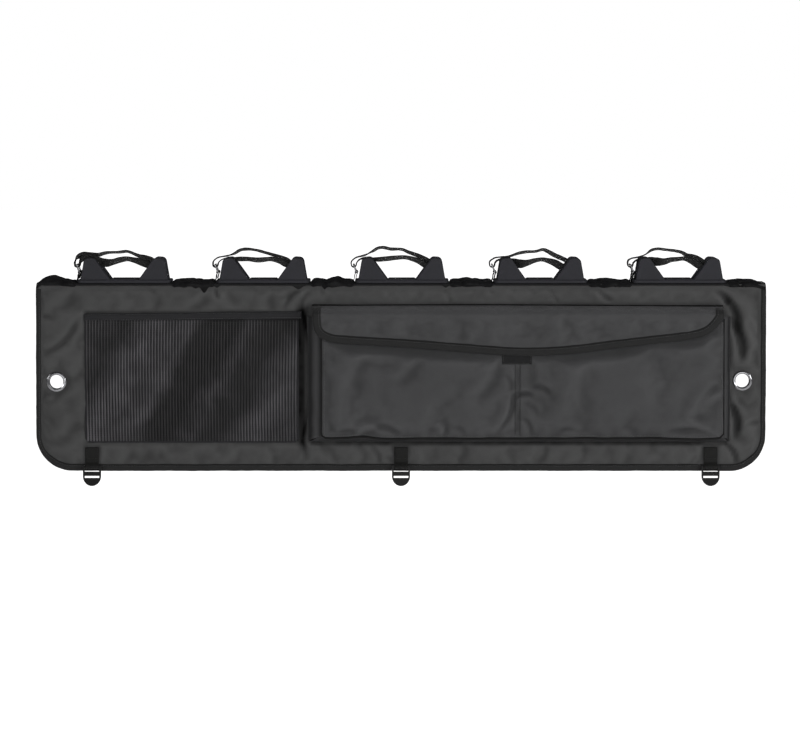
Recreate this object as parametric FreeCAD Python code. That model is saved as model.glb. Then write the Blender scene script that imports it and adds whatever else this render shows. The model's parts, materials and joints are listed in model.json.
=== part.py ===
"""Padded tailgate pad with five strap-down tube cradles, a mesh pocket and a flapped bellows pocket.

The pad is modelled draped, as it is used: a foam spine lies along the top edge of a tailgate, a long front
panel hangs on the outside and a shorter rear panel hangs on the inside.

Frame: X along the pad (positive to the right, seen from the front), Y from front to back (the front panel's
outer face looks along -Y), Z up. The origin is the middle of the spine's underside, which is the flat face
that rests on the tailgate's top edge. Units are millimetres.
"""

import FreeCAD, Part
import math
import os

V = FreeCAD.Vector

# ---------------------------------------------------------------- driving dimensions
PAD_W = 1340.0              # pad width along X
GAP = 76.0                  # slot between the two panels, for the tailgate
LINER_T = 1.0               # soft lining cloth
FOAM_T = 8.0                # closed-cell foam in the hanging panels
SHELL_T = 1.2               # coated outer cloth
SPINE_TOP = 16.0            # top surface of the spine above its underside
PANEL_TOP = SPINE_TOP - 0.3
ABOVE_PANEL = SPINE_TOP + 20    # top of the cutters that leave a panel's edge open upwards
CORE_INSET = 1.5            # foam and shell stop this far inside the pad's outline

# Panel outlines: width, bottom, radius of the lower corners. The rear panel is narrower, so that it
# clears the tailgate's side hinges and the grommets.
REAR_BOTTOM = -250.0
FRONT_OUTLINE = (PAD_W, -329.0, 66.0)
REAR_OUTLINE = (1200.0, REAR_BOTTOM, 30.0)

BINDING_W = 12.0            # width of the edge tape
BINDING_T = 0.9             # thickness of the edge tape's legs

# Distances of a panel's layers from the pad's middle plane
INNER_Y = GAP / 2
FOAM_Y = INNER_Y + LINER_T
SHELL_Y = FOAM_Y + FOAM_T
OUTER_Y = SHELL_Y + SHELL_T
SEWN_Y = -OUTER_Y - 0.1     # plane just clear of the front panel, where the pockets are sewn on

GROMMET_R = 12.5            # clear hole of a grommet
GROMMET_FLANGE_R = 18.5
GROMMETS = {"left": (-632.0, -165.0), "right": (626.0, -163.0)}     # x, z

WEBBING_HALF = 25.4 / 2     # half the width of the webbing at the buckles
BUCKLE_X = {"left": -567.0, "center": 0.0, "right": 568.0}

os.makedirs("parts", exist_ok=True)


# ---------------------------------------------------------------- helpers
def save(name, shape):
    solids = shape.Solids
    shape = solids[0] if len(solids) == 1 else Part.makeCompound(solids)
    if not shape.isValid():
        raise RuntimeError(name + " is not valid")
    shape.exportStep("parts/" + name + ".step")


def box(x0, x1, y0, y1, z0, z1):
    return Part.makeBox(x1 - x0, y1 - y0, z1 - z0, V(x0, y0, z0))


def cyl_x(y, z, radius, x0, x1):
    return Part.makeCylinder(radius, x1 - x0, V(x0, y, z), V(1, 0, 0))


def cyl_y(x, z, radius, y0, y1):
    return Part.makeCylinder(radius, y1 - y0, V(x, y0, z), V(0, 1, 0))


def polygon_face(vectors):
    return Part.Face(Part.makePolygon(vectors + vectors[:1]))


def prism_xy(points, z0, z1):
    return polygon_face([V(x, y, z0) for x, y in points]).extrude(V(0, 0, z1 - z0))


def prism_xz(points, y0, y1):
    return polygon_face([V(x, y0, z) for x, z in points]).extrude(V(0, y1 - y0, 0))


def prism_yz(points, x0, x1):
    return polygon_face([V(x0, y, z) for y, z in points]).extrude(V(x1 - x0, 0, 0))


def smooth(points, steps=4):
    """Catmull-Rom curve through the points, as a dense list."""
    padded = [points[0], *points, points[-1]]
    curve = []
    for before, start, end, after in zip(padded, padded[1:], padded[2:], padded[3:]):
        for k in range(steps):
            t = k / steps
            curve.append(tuple(
                0.5 * (2 * b + (c - a) * t + (2 * a - 5 * b + 4 * c - d) * t * t
                       + (3 * b - a - 3 * c + d) * t ** 3)
                for a, b, c, d in zip(before, start, end, after)))
    curve.append(points[-1])
    return curve


def offset(points, distance):
    """Moves an open XZ line sideways, to the left of its direction."""
    moved = []
    for i, (x, z) in enumerate(points):
        ax, az = points[max(i - 1, 0)]
        bx, bz = points[min(i + 1, len(points) - 1)]
        dx, dz = bx - ax, bz - az
        length = math.hypot(dx, dz)
        moved.append((x - dz / length * distance, z + dx / length * distance))
    return moved


def band(points, thickness, y0, y1):
    """A strap whose middle follows the points in XZ, from y0 to y1 along Y."""
    left, right = offset(points, thickness / 2), offset(points, -thickness / 2)
    return prism_xz(left + right[::-1], y0, y1)


def rounded(shape, test, radius):
    """Rounds every edge the test picks."""
    edges = [e for e in shape.Edges if test(e)]
    for r in (radius, radius * 0.8, radius * 0.6):
        # Guards against a fillet that fails: a smaller radius is tried, then the edges stay sharp.
        try:
            result = shape.makeFillet(r, edges)
            if result.isValid() and result.Volume > 0.5 * shape.Volume:
                return result
        except Exception:
            continue
    return shape


# ---------------------------------------------------------------- hanging panels
def panel(outline, inset, y_span, top=PANEL_TOP):
    """Slab with a straight top and rounded lower corners; sides and bottom are moved in by inset."""
    width, bottom, corner = outline
    y0, y1 = y_span
    half, low, r = width / 2 - inset, bottom + inset, corner - inset
    k = r * (1 - math.sqrt(0.5))        # distance of an arc's middle from the outline's sides
    wire = Part.Wire([
        Part.makeLine(V(-half, y0, top), V(-half, y0, low + r)),
        Part.Arc(V(-half, y0, low + r), V(-half + k, y0, low + k), V(-half + r, y0, low)).toShape(),
        Part.makeLine(V(-half + r, y0, low), V(half - r, y0, low)),
        Part.Arc(V(half - r, y0, low), V(half - k, y0, low + k), V(half, y0, low + r)).toShape(),
        Part.makeLine(V(half, y0, low + r), V(half, y0, top)),
        Part.makeLine(V(half, y0, top), V(-half, y0, top)),
    ])
    return Part.Face(wire).extrude(V(0, y1 - y0, 0))


def make_panel(prefix, outline, side, holes):
    """Lining, foam, outer cloth and edge tape. side is -1 for the front and 1 for the rear."""
    def span(near, far):
        return sorted((side * near, side * far))

    liner = panel(outline, BINDING_W + 0.6, span(INNER_Y, FOAM_Y))
    foam = panel(outline, CORE_INSET, span(FOAM_Y, SHELL_Y))
    shell = panel(outline, CORE_INSET, span(SHELL_Y, OUTER_Y))

    # The tape is a channel round the panel's edge, open at the top of the panel.
    y0, y1 = span(INNER_Y, OUTER_Y + BINDING_T + 0.1)
    tape = panel(outline, 0.0, (y0, y1))
    tape = tape.cut(panel(outline, BINDING_W, (y0 - 5, y1 + 5), ABOVE_PANEL))
    tape = tape.cut(panel(outline, 1.4, span(INNER_Y + BINDING_T, OUTER_Y + 0.1), ABOVE_PANEL))

    # Foam fills the edge between the lining's rim and the tape.
    rim_span = span(INNER_Y + BINDING_T, FOAM_Y)
    rim = panel(outline, CORE_INSET, rim_span)
    rim = rim.cut(panel(outline, BINDING_W + 0.5, rim_span, ABOVE_PANEL))
    foam = foam.fuse(rim).removeSplitter()

    for x, z in holes:
        bore = cyl_y(x, z, GROMMET_R + 0.95, -80, 80)
        liner, foam, shell = liner.cut(bore), foam.cut(bore), shell.cut(bore)
    save(prefix + "_liner", liner)
    save(prefix + "_foam", foam)
    save(prefix + "_shell", shell)
    save(prefix + "_binding", tape)


def make_spine():
    half_x, half_y = PAD_W / 2 - CORE_INSET, INNER_Y - 0.2
    shell_z = SPINE_TOP - SHELL_T
    for name, z0, z1 in (("liner", 0, LINER_T), ("foam", LINER_T, shell_z),
                         ("shell", shell_z, SPINE_TOP)):
        save("spine_" + name, box(-half_x, half_x, -half_y, half_y, z0, z1))


# ---------------------------------------------------------------- grommets
def make_grommets():
    """Eyelets with a domed flange outside and a rolled lip inside, and their washers."""
    r, flange = GROMMET_R, GROMMET_FLANGE_R
    profile = [     # radius, y
        (r, -OUTER_Y - 0.4), (r + 0.7, -OUTER_Y - 1.5), (r + 2.0, -OUTER_Y - 2.0),
        (r + 3.4, -OUTER_Y - 1.9), (flange - 0.6, -OUTER_Y - 0.9), (flange, -OUTER_Y - 0.2),
        (flange, -OUTER_Y), (r + 0.8, -OUTER_Y), (r + 0.8, -INNER_Y + 1.3),
        (r + 1.6, -INNER_Y + 1.3), (r + 2.2, -INNER_Y + 1.5), (r + 2.0, -INNER_Y + 2.2),
        (r + 1.1, -INNER_Y + 2.4), (r, -INNER_Y + 1.6),
    ]
    washers = []
    for side, (x, z) in GROMMETS.items():
        section = polygon_face([V(x + a, y, z) for a, y in profile])
        save("grommet_" + side, section.revolve(V(x, 0, z), V(0, 1, 0), 360))
        washer = cyl_y(x, z, flange, -INNER_Y + 0.05, -INNER_Y + 1.2)
        washers.append(washer.cut(cyl_y(x, z, r + 0.9, -INNER_Y - 1, -INNER_Y + 2)))
    save("grommet_washers", Part.makeCompound(washers))


# ---------------------------------------------------------------- mesh pocket
def make_mesh_pocket():
    x0, x1, z0, z1 = -577.0, -190.0, -275.0, -38.5
    rim_w = 8
    back = SEWN_Y - 1.4         # back of the mesh, which the rim joins to the panel
    mesh = box(x0, x1, SEWN_Y - 2.4, back, z0, z1)
    rim = box(x0, x1, back, SEWN_Y, z0, z1 - 1).cut(
        box(x0 + rim_w, x1 - rim_w, SEWN_Y - 2, SEWN_Y + 1, z0 + rim_w, z1 + 5))
    save("mesh_panel", mesh.fuse(rim).removeSplitter())

    # The hem is an L: a strip down the front and a ledge over the mesh's top edge.
    hem_x0, hem_x1, hem_y, hem_top = x0 - 4, x1 + 6, SEWN_Y - 3.6, z1 + 1
    strip = box(hem_x0, hem_x1, hem_y, SEWN_Y - 2.5, z1 - 13, hem_top)
    ledge = box(hem_x0, hem_x1, hem_y, SEWN_Y - 0.2, z1 + 0.2, hem_top)
    save("mesh_hem", strip.fuse(ledge).removeSplitter())


# ---------------------------------------------------------------- bellows pocket
POCKET_X0, POCKET_X1 = -172.0, 604.0    # where it is sewn to the panel
POCKET_Z0, POCKET_Z1 = -275.0, -24.0
FACE_X0, FACE_X1 = -145.0, 590.0        # its front face
FACE_Z0, FACE_Z1 = -267.0, -44.0
FACE_T = 1.2
FACE_BACK = -OUTER_Y - 28.8             # inner side of the face, with the bellows open
FACE_FRONT = FACE_BACK - FACE_T
GUSSET_T = 1.2
GUSSET_FRONT = FACE_BACK + 0.15         # the gussets and the divider stop just behind the face
DIVIDER_X = 213.0


def side_gusset(panel_x, face_x):
    """A slanting strip from the panel to the face."""
    t = math.copysign(GUSSET_T, face_x - panel_x)
    points = [(panel_x, SEWN_Y), (panel_x + t, SEWN_Y),
              (face_x + t / 2, GUSSET_FRONT), (face_x - t / 2, GUSSET_FRONT)]
    return prism_xy(points, FACE_Z0 + 2, FACE_Z1 - 2)


def make_bellows_pocket():
    save("pocket_gusset_left", side_gusset(POCKET_X0, FACE_X0 + 1))
    save("pocket_gusset_right", side_gusset(POCKET_X1, FACE_X1 - 1))
    save("pocket_gusset_bottom", prism_yz(
        [(SEWN_Y, POCKET_Z0), (SEWN_Y, POCKET_Z0 + GUSSET_T),
         (GUSSET_FRONT, FACE_Z0 + 0.2 + GUSSET_T), (GUSSET_FRONT, FACE_Z0 + 0.2)],
        FACE_X0 + 2, FACE_X1 - 2))
    save("pocket_divider", box(DIVIDER_X - 0.6, DIVIDER_X + 0.6, GUSSET_FRONT, SEWN_Y,
                               FACE_Z0 + 6, FACE_Z1 - 12))
    save("pocket_face", box(FACE_X0, FACE_X1, FACE_FRONT, FACE_BACK, FACE_Z0, FACE_Z1 - 0.5))

    # The hem caps the face's top edge and runs down its front.
    hem = box(FACE_X0 + 1, FACE_X1 - 1, FACE_FRONT - 0.6, FACE_BACK, FACE_Z1 - 9, FACE_Z1 + 0.6)
    save("pocket_face_hem", hem.cut(box(
        FACE_X0 - 1, FACE_X1 + 1, FACE_FRONT - 0.05, FACE_BACK + 1, FACE_Z1 - 20, FACE_Z1 - 0.45)))
    patch_back = FACE_FRONT - 0.05
    save("pocket_loop_patch", box(DIVIDER_X - 28, DIVIDER_X + 26,
                                  patch_back - 1.0, patch_back, -131, -88))


# ---------------------------------------------------------------- pocket flap
FLAP_X0, FLAP_X1 = -160, 589
FLAP_TOP = POCKET_Z1
FLAP_FOLD = FLAP_TOP - 15           # below this the flap hangs straight down
FLAP_T = 2.0
FLAP_BACK = FACE_FRONT - 1.8        # inner side of the hanging part
FLAP_FRONT = FLAP_BACK - FLAP_T

# Lower edge of the flap from left to right: x, z
FLAP_EDGE = [
    (-160, -56), (-158, -68), (-150, -80), (-134, -88.5), (-112, -91.5),
    (0, -98), (106, -106), (209, -113.5), (300, -111), (400, -99),
    (509, -86.5), (548, -80), (566, -71), (577, -59), (588, -50),
]


def make_flap():
    edge = smooth(FLAP_EDGE)
    outer = [(FLAP_X0, FLAP_FOLD)] + edge + [(FLAP_X1, FLAP_FOLD)]
    inner = [(FLAP_X0 + 13, FLAP_FOLD)] + offset(edge, 12.5) + [(FLAP_X1 - 13, FLAP_FOLD)]

    hanging = prism_xz(outer, FLAP_FRONT, FLAP_BACK)
    # The slope runs from the panel out to the fold; what reaches below the fold is cut off.
    slope = prism_yz([
        (-OUTER_Y - 1.0, FLAP_TOP), (-OUTER_Y - 1.0, FLAP_TOP - FLAP_T * 1.2),
        (FLAP_BACK, FLAP_FOLD - FLAP_T * 0.2), (FLAP_BACK, FLAP_FOLD - 2),
        (FLAP_FRONT, FLAP_FOLD - 2), (FLAP_FRONT, FLAP_FOLD + 2), (-OUTER_Y - 2.2, FLAP_TOP),
    ], FLAP_X0, FLAP_X1)
    below_fold = box(-200, 640, -200, 0, FLAP_TOP - 200, FLAP_FOLD)
    save("flap_shell", hanging.fuse(slope.cut(below_fold)).removeSplitter())

    tape = prism_xz(outer, FLAP_FRONT - 0.85, FLAP_FRONT - 0.05)
    save("flap_binding", tape.cut(prism_xz(inner, FLAP_FRONT - 5, FLAP_FRONT + 5)))
    save("flap_hook_patch", box(DIVIDER_X - 26, DIVIDER_X + 24,
                                FLAP_BACK + 0.05, FLAP_BACK + 0.7, -107, -90))


# ---------------------------------------------------------------- tube cradles on the spine
CRADLE_COUNT = 5
CRADLE_PITCH = 254.6
CRADLE_MID = 1.5            # the row of cradles sits this far right of the middle
CRADLE_L = 172.0            # length of a cradle's base along X
CRADLE_D = 92.0             # depth of a cradle along Y
FLOOR = SPINE_TOP + 6.0     # top of the cradle's base
BASE_CORNER_R = 10
WALL_Y = CRADLE_D / 2 - 2.5     # outer side of the horns' walls
HORN_TOP = 62.0             # height of the horns
SADDLE_W = 48.0             # width of the saddle between the horns
SADDLE_TOP = 23.2
HORN_R = 9.0                # rounding over the top of a horn
EDGE_R = 2.0                # rounding of a moulded edge
CHANNEL_HALF = 42.0 / 2     # half the strap's channel between a horn's front and rear walls

# Wall of the right horn, measured from the cradle's middle: x, z
HORN_PROFILE = [
    (26, FLOOR - 3), (26, FLOOR), (55.2, HORN_TOP + 0.6),
    (73.2, HORN_TOP - 0.6), (80.0, FLOOR), (80.0, FLOOR - 3),
]


def horn_wall(middle, sign, y0, y1):
    """One wall of a horn: slanted towards the saddle, steep outside, rounded over the top."""
    def along_y(e):
        a, b = e.Vertexes[0].Point, e.Vertexes[-1].Point
        return len(e.Vertexes) == 2 and abs(a.x - b.x) < 1e-6 and abs(a.z - b.z) < 1e-6

    def over_top(e):
        return along_y(e) and e.Vertexes[0].Z > HORN_TOP - 3

    def on_side(e):
        heights = [v.Z for v in e.Vertexes]
        return not along_y(e) and min(heights) > FLOOR - 2.9 and max(heights) > FLOOR + 1

    wall = prism_xz([(middle + sign * x, z) for x, z in HORN_PROFILE], y0, y1)
    return rounded(rounded(wall, over_top, HORN_R), on_side, EDGE_R)


def cradle(middle):
    half_l, half_d = CRADLE_L / 2, CRADLE_D / 2
    base = box(middle - half_l, middle + half_l, -half_d, half_d, SPINE_TOP + 0.02, FLOOR)
    upright = [e for e in base.Edges if abs(e.Vertexes[0].Z - e.Vertexes[-1].Z) > 5]
    base = base.makeFillet(BASE_CORNER_R, upright)
    shape = rounded(base, lambda e: min(v.Z for v in e.Vertexes) > FLOOR - 0.1, EDGE_R)
    for sign in (-1, 1):
        for y0, y1 in ((-WALL_Y, -CHANNEL_HALF), (CHANNEL_HALF, WALL_Y)):
            shape = shape.fuse(horn_wall(middle, sign, y0, y1))
        # web at the foot of the channel, outside the strap
        x0, x1 = sorted((middle + sign * 71.8, middle + sign * 79.0))
        shape = shape.fuse(box(x0, x1, -CHANNEL_HALF - 2, CHANNEL_HALF + 2, FLOOR - 2, FLOOR + 4))
    # raised saddle that the tube sits on
    shape = shape.fuse(box(middle - SADDLE_W / 2, middle + SADDLE_W / 2, -WALL_Y, WALL_Y,
                           FLOOR - 1, SADDLE_TOP))
    return shape.removeSplitter()


# ---------------------------------------------------------------- cradle straps
# The strap is sewn to the cradle's base inside the right horn, runs up and over to the left, turns
# round the ring's upper bar and folds back over itself as the tail. All x are from the cradle's middle.
STRAP_HALF = 38.0 / 2       # half the width of the hook-and-loop strap
STRAP_T = 2.4
UPPER_BAR = (-88.5, 48.5)   # x, z of the ring's upper bar
LOWER_BAR = (-83.5, 35.0)   # x, z of its lower bar, held in the anchor loop
WIRE_R = 1.5
TURN_R = 4.6                # radius of the strap's middle round the upper bar
TURN_STEPS = 12

# Middle of the strap from its sewn foot to the turn: x, z
STRAP_RUN = [
    (69.5, FLOOR + 1.5), (60.0, FLOOR + 1.5), (53.0, FLOOR + 3.8), (51.0, 34.0), (53.0, 45.0),
    (49.5, 52.5), (41.0, 55.6), (20.0, 59.2), (-8.0, 60.8), (-36.0, 60.6), (-58.0, 61.8),
    (-72.0, 60.2), (-80.0, 56.0),
]
# Middle of the tail from the turn to its free end: x, z
STRAP_TAIL = [
    (-93.4, 52.4), (-91.0, 57.6), (-84.0, 62.6), (-74.0, 65.4), (-60.0, 67.6),
    (-36.0, 74.0), (-10.0, 75.0), (14.0, 71.0), (36.0, 63.6), (47.0, 58.6),
]
# Middle of the anchor's webbing, from the spine up to the loop: x from the lower bar, z
ANCHOR_LEG = [
    (-14.0, FLOOR - 4.6), (-6.5, FLOOR - 4.6), (-4.4, FLOOR - 2.0),
    (-3.0, 27.0), (-2.2, LOWER_BAR[1] - 1.0),
]


def strap_path():
    turn = []
    for i in range(TURN_STEPS + 1):
        angle = math.radians(20 - 220 * i / TURN_STEPS)
        turn.append((UPPER_BAR[0] + TURN_R * math.cos(angle),
                     UPPER_BAR[1] + TURN_R * math.sin(angle)))
    return smooth(STRAP_RUN) + turn


def strap(middle, path, thickness=STRAP_T):
    return band([(middle + x, z) for x, z in path], thickness, -STRAP_HALF, STRAP_HALF)


def strap_ring(middle):
    """Rectangular wire ring: two bars along Y and two short sides."""
    half_y = STRAP_HALF + 1.0 + WIRE_R
    (upper_x, upper_z), (lower_x, lower_z) = UPPER_BAR, LOWER_BAR
    dx, dz = upper_x - lower_x, upper_z - lower_z
    ring = cyl_y(middle + upper_x, upper_z, WIRE_R, -half_y, half_y)
    ring = ring.fuse(cyl_y(middle + lower_x, lower_z, WIRE_R, -half_y, half_y))
    for y in (-half_y, half_y):
        lower = V(middle + lower_x, y, lower_z)
        ring = ring.fuse(Part.makeCylinder(WIRE_R, math.hypot(dx, dz), lower, V(dx, 0, dz)))
        ring = ring.fuse(Part.makeSphere(WIRE_R, V(middle + upper_x, y, upper_z)))
        ring = ring.fuse(Part.makeSphere(WIRE_R, lower))
    return ring.removeSplitter()


def ring_anchor(middle):
    """Webbing sewn on beside the cradle's base and turned round the ring's lower bar."""
    x, z = middle + LOWER_BAR[0], LOWER_BAR[1]
    half = STRAP_HALF - 1
    loop = cyl_y(x, z, 3.2, -half, half)
    leg = band(smooth([(x + dx, leg_z) for dx, leg_z in ANCHOR_LEG]), 1.6, -half, half)
    loop = loop.fuse(leg).cut(cyl_y(x, z, 1.9, -STRAP_HALF - 2, STRAP_HALF + 2))
    return loop.removeSplitter()


def make_cradles():
    anchors = []
    for i in range(CRADLE_COUNT):
        middle = CRADLE_MID + (i - CRADLE_COUNT // 2) * CRADLE_PITCH
        number = str(i + 1)
        save("cradle_" + number, cradle(middle))
        save("strap_" + number, strap(middle, strap_path()))
        save("strap_tail_" + number, strap(middle, smooth(STRAP_TAIL)))
        save("strap_ring_" + number, strap_ring(middle))
        anchors.append(ring_anchor(middle))
    save("ring_anchors", Part.makeCompound(anchors))


# ---------------------------------------------------------------- webbing tabs and ladder-lock buckles
PIVOT_Y, PIVOT_Z = -OUTER_Y - 6.4, -321.5
PIVOT_R = 2.1
FRAME_HALF_W = 16.6
FRAME_HALF_T = 2.1
OPENING_HALF = 13.4         # half the width of the frame's openings
FRAME_ROUND_Z = -338.5      # the frame's half-elliptical lower end starts here
FRAME_END = -356.0
FRAME_STEPS = 18


def buckle_tab(x):
    x0, x1 = x - WEBBING_HALF, x + WEBBING_HALF
    front, back = -OUTER_Y - 4.2, -OUTER_Y - 1.2
    tab = box(x0, x1, front, back, -316.5, -285.0)
    tab = tab.fuse(box(x0, x1, -OUTER_Y - 1.3, SEWN_Y, -312.0, -285.0))
    tab = tab.fuse(prism_yz([(front, -312), (back, -312), (-OUTER_Y - 2.9, -320),
                             (-OUTER_Y - 10.0, -320.5), (-OUTER_Y - 9.2, -318)], x0, x1))
    tab = tab.fuse(cyl_x(PIVOT_Y, PIVOT_Z, 3.9, x0, x1))
    tab = tab.cut(cyl_x(PIVOT_Y, PIVOT_Z, PIVOT_R + 0.4, x0 - 1, x1 + 1))
    return tab.removeSplitter()


def buckle(x):
    """Frame with two side arms, a pivot bar, a ribbed crossbar and a rounded thumb lip."""
    front, back = PIVOT_Y - FRAME_HALF_T, PIVOT_Y + FRAME_HALF_T
    outline = [(x - FRAME_HALF_W, PIVOT_Z + 2.6)]
    for k in range(FRAME_STEPS + 1):
        angle = math.pi + math.pi * k / FRAME_STEPS
        outline.append((x + FRAME_HALF_W * math.cos(angle),
                        FRAME_ROUND_Z + (FRAME_ROUND_Z - FRAME_END) * math.sin(angle)))
    outline.append((x + FRAME_HALF_W, PIVOT_Z + 2.6))

    def across(y0, y1, z0, z1):
        return box(x - OPENING_HALF, x + OPENING_HALF, y0, y1, z0, z1)

    frame = prism_xz(outline, front, back)
    frame = frame.cut(across(front - 1, back + 1, -329.8, PIVOT_Z + 6))     # window for the tab
    frame = frame.cut(across(front - 1, back + 1, -341.4, -337.6))          # slot for the strap
    frame = frame.cut(across(front - 1, front + 1.2, -337.7, -329.7))       # crossbar set back
    frame = frame.fuse(across(front + 0.4, front + 1.4, -332.2, -330.4))    # rib on the crossbar
    frame = frame.fuse(cyl_x(PIVOT_Y, PIVOT_Z, PIVOT_R, x - 14.5, x + 14.5))
    lip = prism_yz([(front, -345.0), (front - 2.6, -353.5), (front - 2.6, -356.5),
                    (front + 1.5, -356.5), (front + 1.5, -345.0)], x - 20, x + 20)
    lip = lip.common(prism_xz(outline, front - 4, back))

    def on_lip(e):
        ends = (e.Vertexes[0], e.Vertexes[-1])
        return all(v.Z < -343.5 and v.Y < front - 1.0 for v in ends) and e.Length > 5

    return rounded(frame.fuse(lip).removeSplitter(), on_lip, 0.8)


# ---------------------------------------------------------------- rear straps
# These pass under the tailgate in use; here they are folded up below the rear panel.
REAR_STRAP_Y = OUTER_Y + BINDING_T + 0.3
FOLD_T = 1.5                # thickness of a folded layer
FOLD_PITCH = 2.0
FOLD_TOP = REAR_BOTTOM - 4.2
FOLD_BOTTOM = REAR_BOTTOM - 66.0


def rear_strap(x):
    """Four layers in a zigzag, layer 0 at the front."""
    x0, x1 = x - WEBBING_HALF, x + WEBBING_HALF
    shape = box(x0, x1, REAR_STRAP_Y, REAR_STRAP_Y + FOLD_T, FOLD_BOTTOM, FOLD_TOP)
    high = FOLD_TOP - 9.0           # top of layer 2
    turn = high - 3.0               # top of layers 1 and 3
    for k in range(1, 4):
        y0 = REAR_STRAP_Y + k * FOLD_PITCH
        y1 = y0 + FOLD_T
        low = FOLD_BOTTOM if k == 1 else FOLD_BOTTOM + 3.0
        shape = shape.fuse(box(x0, x1, y0, y1, low, turn if k % 2 else high))
        # bend that joins this layer to the one before it: odd layers below, layer 2 above
        bend = low if k % 2 else turn - FOLD_T
        shape = shape.fuse(box(x0, x1, y0 - FOLD_PITCH, y1, bend, bend + FOLD_T))
    return shape.removeSplitter()


def strap_keeper(x):
    """Flat band round the folded layers."""
    y0, y1 = REAR_STRAP_Y - 0.9, REAR_STRAP_Y + 3 * FOLD_PITCH + FOLD_T + 0.9
    outside, inside = WEBBING_HALF + 1.3, WEBBING_HALF + 0.2
    keeper = box(x - outside, x + outside, y0, y1, FOLD_BOTTOM + 22, FOLD_BOTTOM + 36)
    return keeper.cut(box(x - inside, x + inside, y0 + 0.8, y1 - 0.8,
                          FOLD_BOTTOM, FOLD_BOTTOM + 60))


def make_webbing():
    rear_tabs = []
    for side, x in BUCKLE_X.items():
        save("buckle_tab_" + side, buckle_tab(x))
        save("buckle_" + side, buckle(x))
        save("rear_strap_" + side, rear_strap(x))
        save("strap_keeper_" + side, strap_keeper(x))
        rear_tabs.append(box(x - WEBBING_HALF, x + WEBBING_HALF, REAR_STRAP_Y, REAR_STRAP_Y + 1.6,
                             REAR_BOTTOM - 2.0, -205.0))
    save("rear_strap_tabs", Part.makeCompound(rear_tabs))


make_panel("front", FRONT_OUTLINE, -1, GROMMETS.values())
make_panel("rear", REAR_OUTLINE, 1, ())
make_spine()
make_grommets()
make_mesh_pocket()
make_bellows_pocket()
make_flap()
make_cradles()
make_webbing()
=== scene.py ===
"""A soft pad folded over a spine, with rubber cradles and straps for five tubes.

X runs along the width, the front panel faces -Y and the rear panel +Y. The underside of the spine
lies at about z = 0, the cradles stand on it and both panels hang below it. The front carries a mesh
pocket (at -X), a bellows pocket with a flap, two grommets and three buckle tabs; the rear carries
three folded straps. Lengths are in millimetres unless a name or comment says metres.
"""
import bpy
import json
import math
from collections import namedtuple
import numpy as np
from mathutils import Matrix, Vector


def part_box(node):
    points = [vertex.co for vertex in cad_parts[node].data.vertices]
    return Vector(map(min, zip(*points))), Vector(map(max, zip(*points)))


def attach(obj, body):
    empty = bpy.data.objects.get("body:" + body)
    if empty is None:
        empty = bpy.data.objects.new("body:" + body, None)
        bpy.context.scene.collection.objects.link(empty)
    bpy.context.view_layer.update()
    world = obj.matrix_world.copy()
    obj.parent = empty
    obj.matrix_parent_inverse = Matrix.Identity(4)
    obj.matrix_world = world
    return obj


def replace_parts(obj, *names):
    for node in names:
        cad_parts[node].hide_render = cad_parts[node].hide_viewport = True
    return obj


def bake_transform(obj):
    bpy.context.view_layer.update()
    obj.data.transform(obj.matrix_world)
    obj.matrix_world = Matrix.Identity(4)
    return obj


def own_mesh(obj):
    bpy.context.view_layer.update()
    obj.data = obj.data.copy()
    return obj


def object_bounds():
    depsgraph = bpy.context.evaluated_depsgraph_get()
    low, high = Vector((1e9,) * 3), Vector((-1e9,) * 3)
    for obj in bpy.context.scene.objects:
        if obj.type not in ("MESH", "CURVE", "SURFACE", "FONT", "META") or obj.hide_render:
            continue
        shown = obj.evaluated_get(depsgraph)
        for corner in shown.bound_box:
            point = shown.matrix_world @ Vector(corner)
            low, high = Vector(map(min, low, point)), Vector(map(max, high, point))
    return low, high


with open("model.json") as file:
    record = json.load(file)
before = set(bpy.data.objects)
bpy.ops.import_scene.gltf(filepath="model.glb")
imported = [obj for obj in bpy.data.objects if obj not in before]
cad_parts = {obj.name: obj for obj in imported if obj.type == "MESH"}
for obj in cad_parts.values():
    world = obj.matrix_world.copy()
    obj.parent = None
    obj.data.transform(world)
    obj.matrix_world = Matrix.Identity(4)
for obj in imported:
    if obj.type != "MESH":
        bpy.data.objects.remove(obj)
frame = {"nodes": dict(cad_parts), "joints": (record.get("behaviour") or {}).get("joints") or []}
CAD_BOX = [list(v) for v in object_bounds()]
MM = 0.001                          # metres in a millimetre
JOINTS = {joint["name"]: joint for joint in frame["joints"]}
SIDES = ("left", "center", "right")
FORWARD = (0, -1, 0)


def box_mm(name):
    low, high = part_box(name)
    return np.array(low) * 1000.0, np.array(high) * 1000.0


def joint_mm(name):
    return [value * 1000 for value in JOINTS[name]["pos_m"]]


# ---------------------------------------------------------------- places from the frame
FRONT_LO, FRONT_HI = box_mm("front_shell")
REAR_LO, REAR_HI = box_mm("rear_shell")
SPINE_HI = box_mm("spine_shell")[1]
FACE_LO, FACE_HI = box_mm("pocket_face")
FLAP_LO, FLAP_HI = box_mm("flap_shell")
MESH_LO, MESH_HI = box_mm("mesh_panel")
HEM_LO, HEM_HI = box_mm("mesh_hem")
LOOP_LO, LOOP_HI = box_mm("pocket_loop_patch")
HOOK_LO, HOOK_HI = box_mm("flap_hook_patch")
DIVIDER_LO, DIVIDER_HI = box_mm("pocket_divider")

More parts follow.
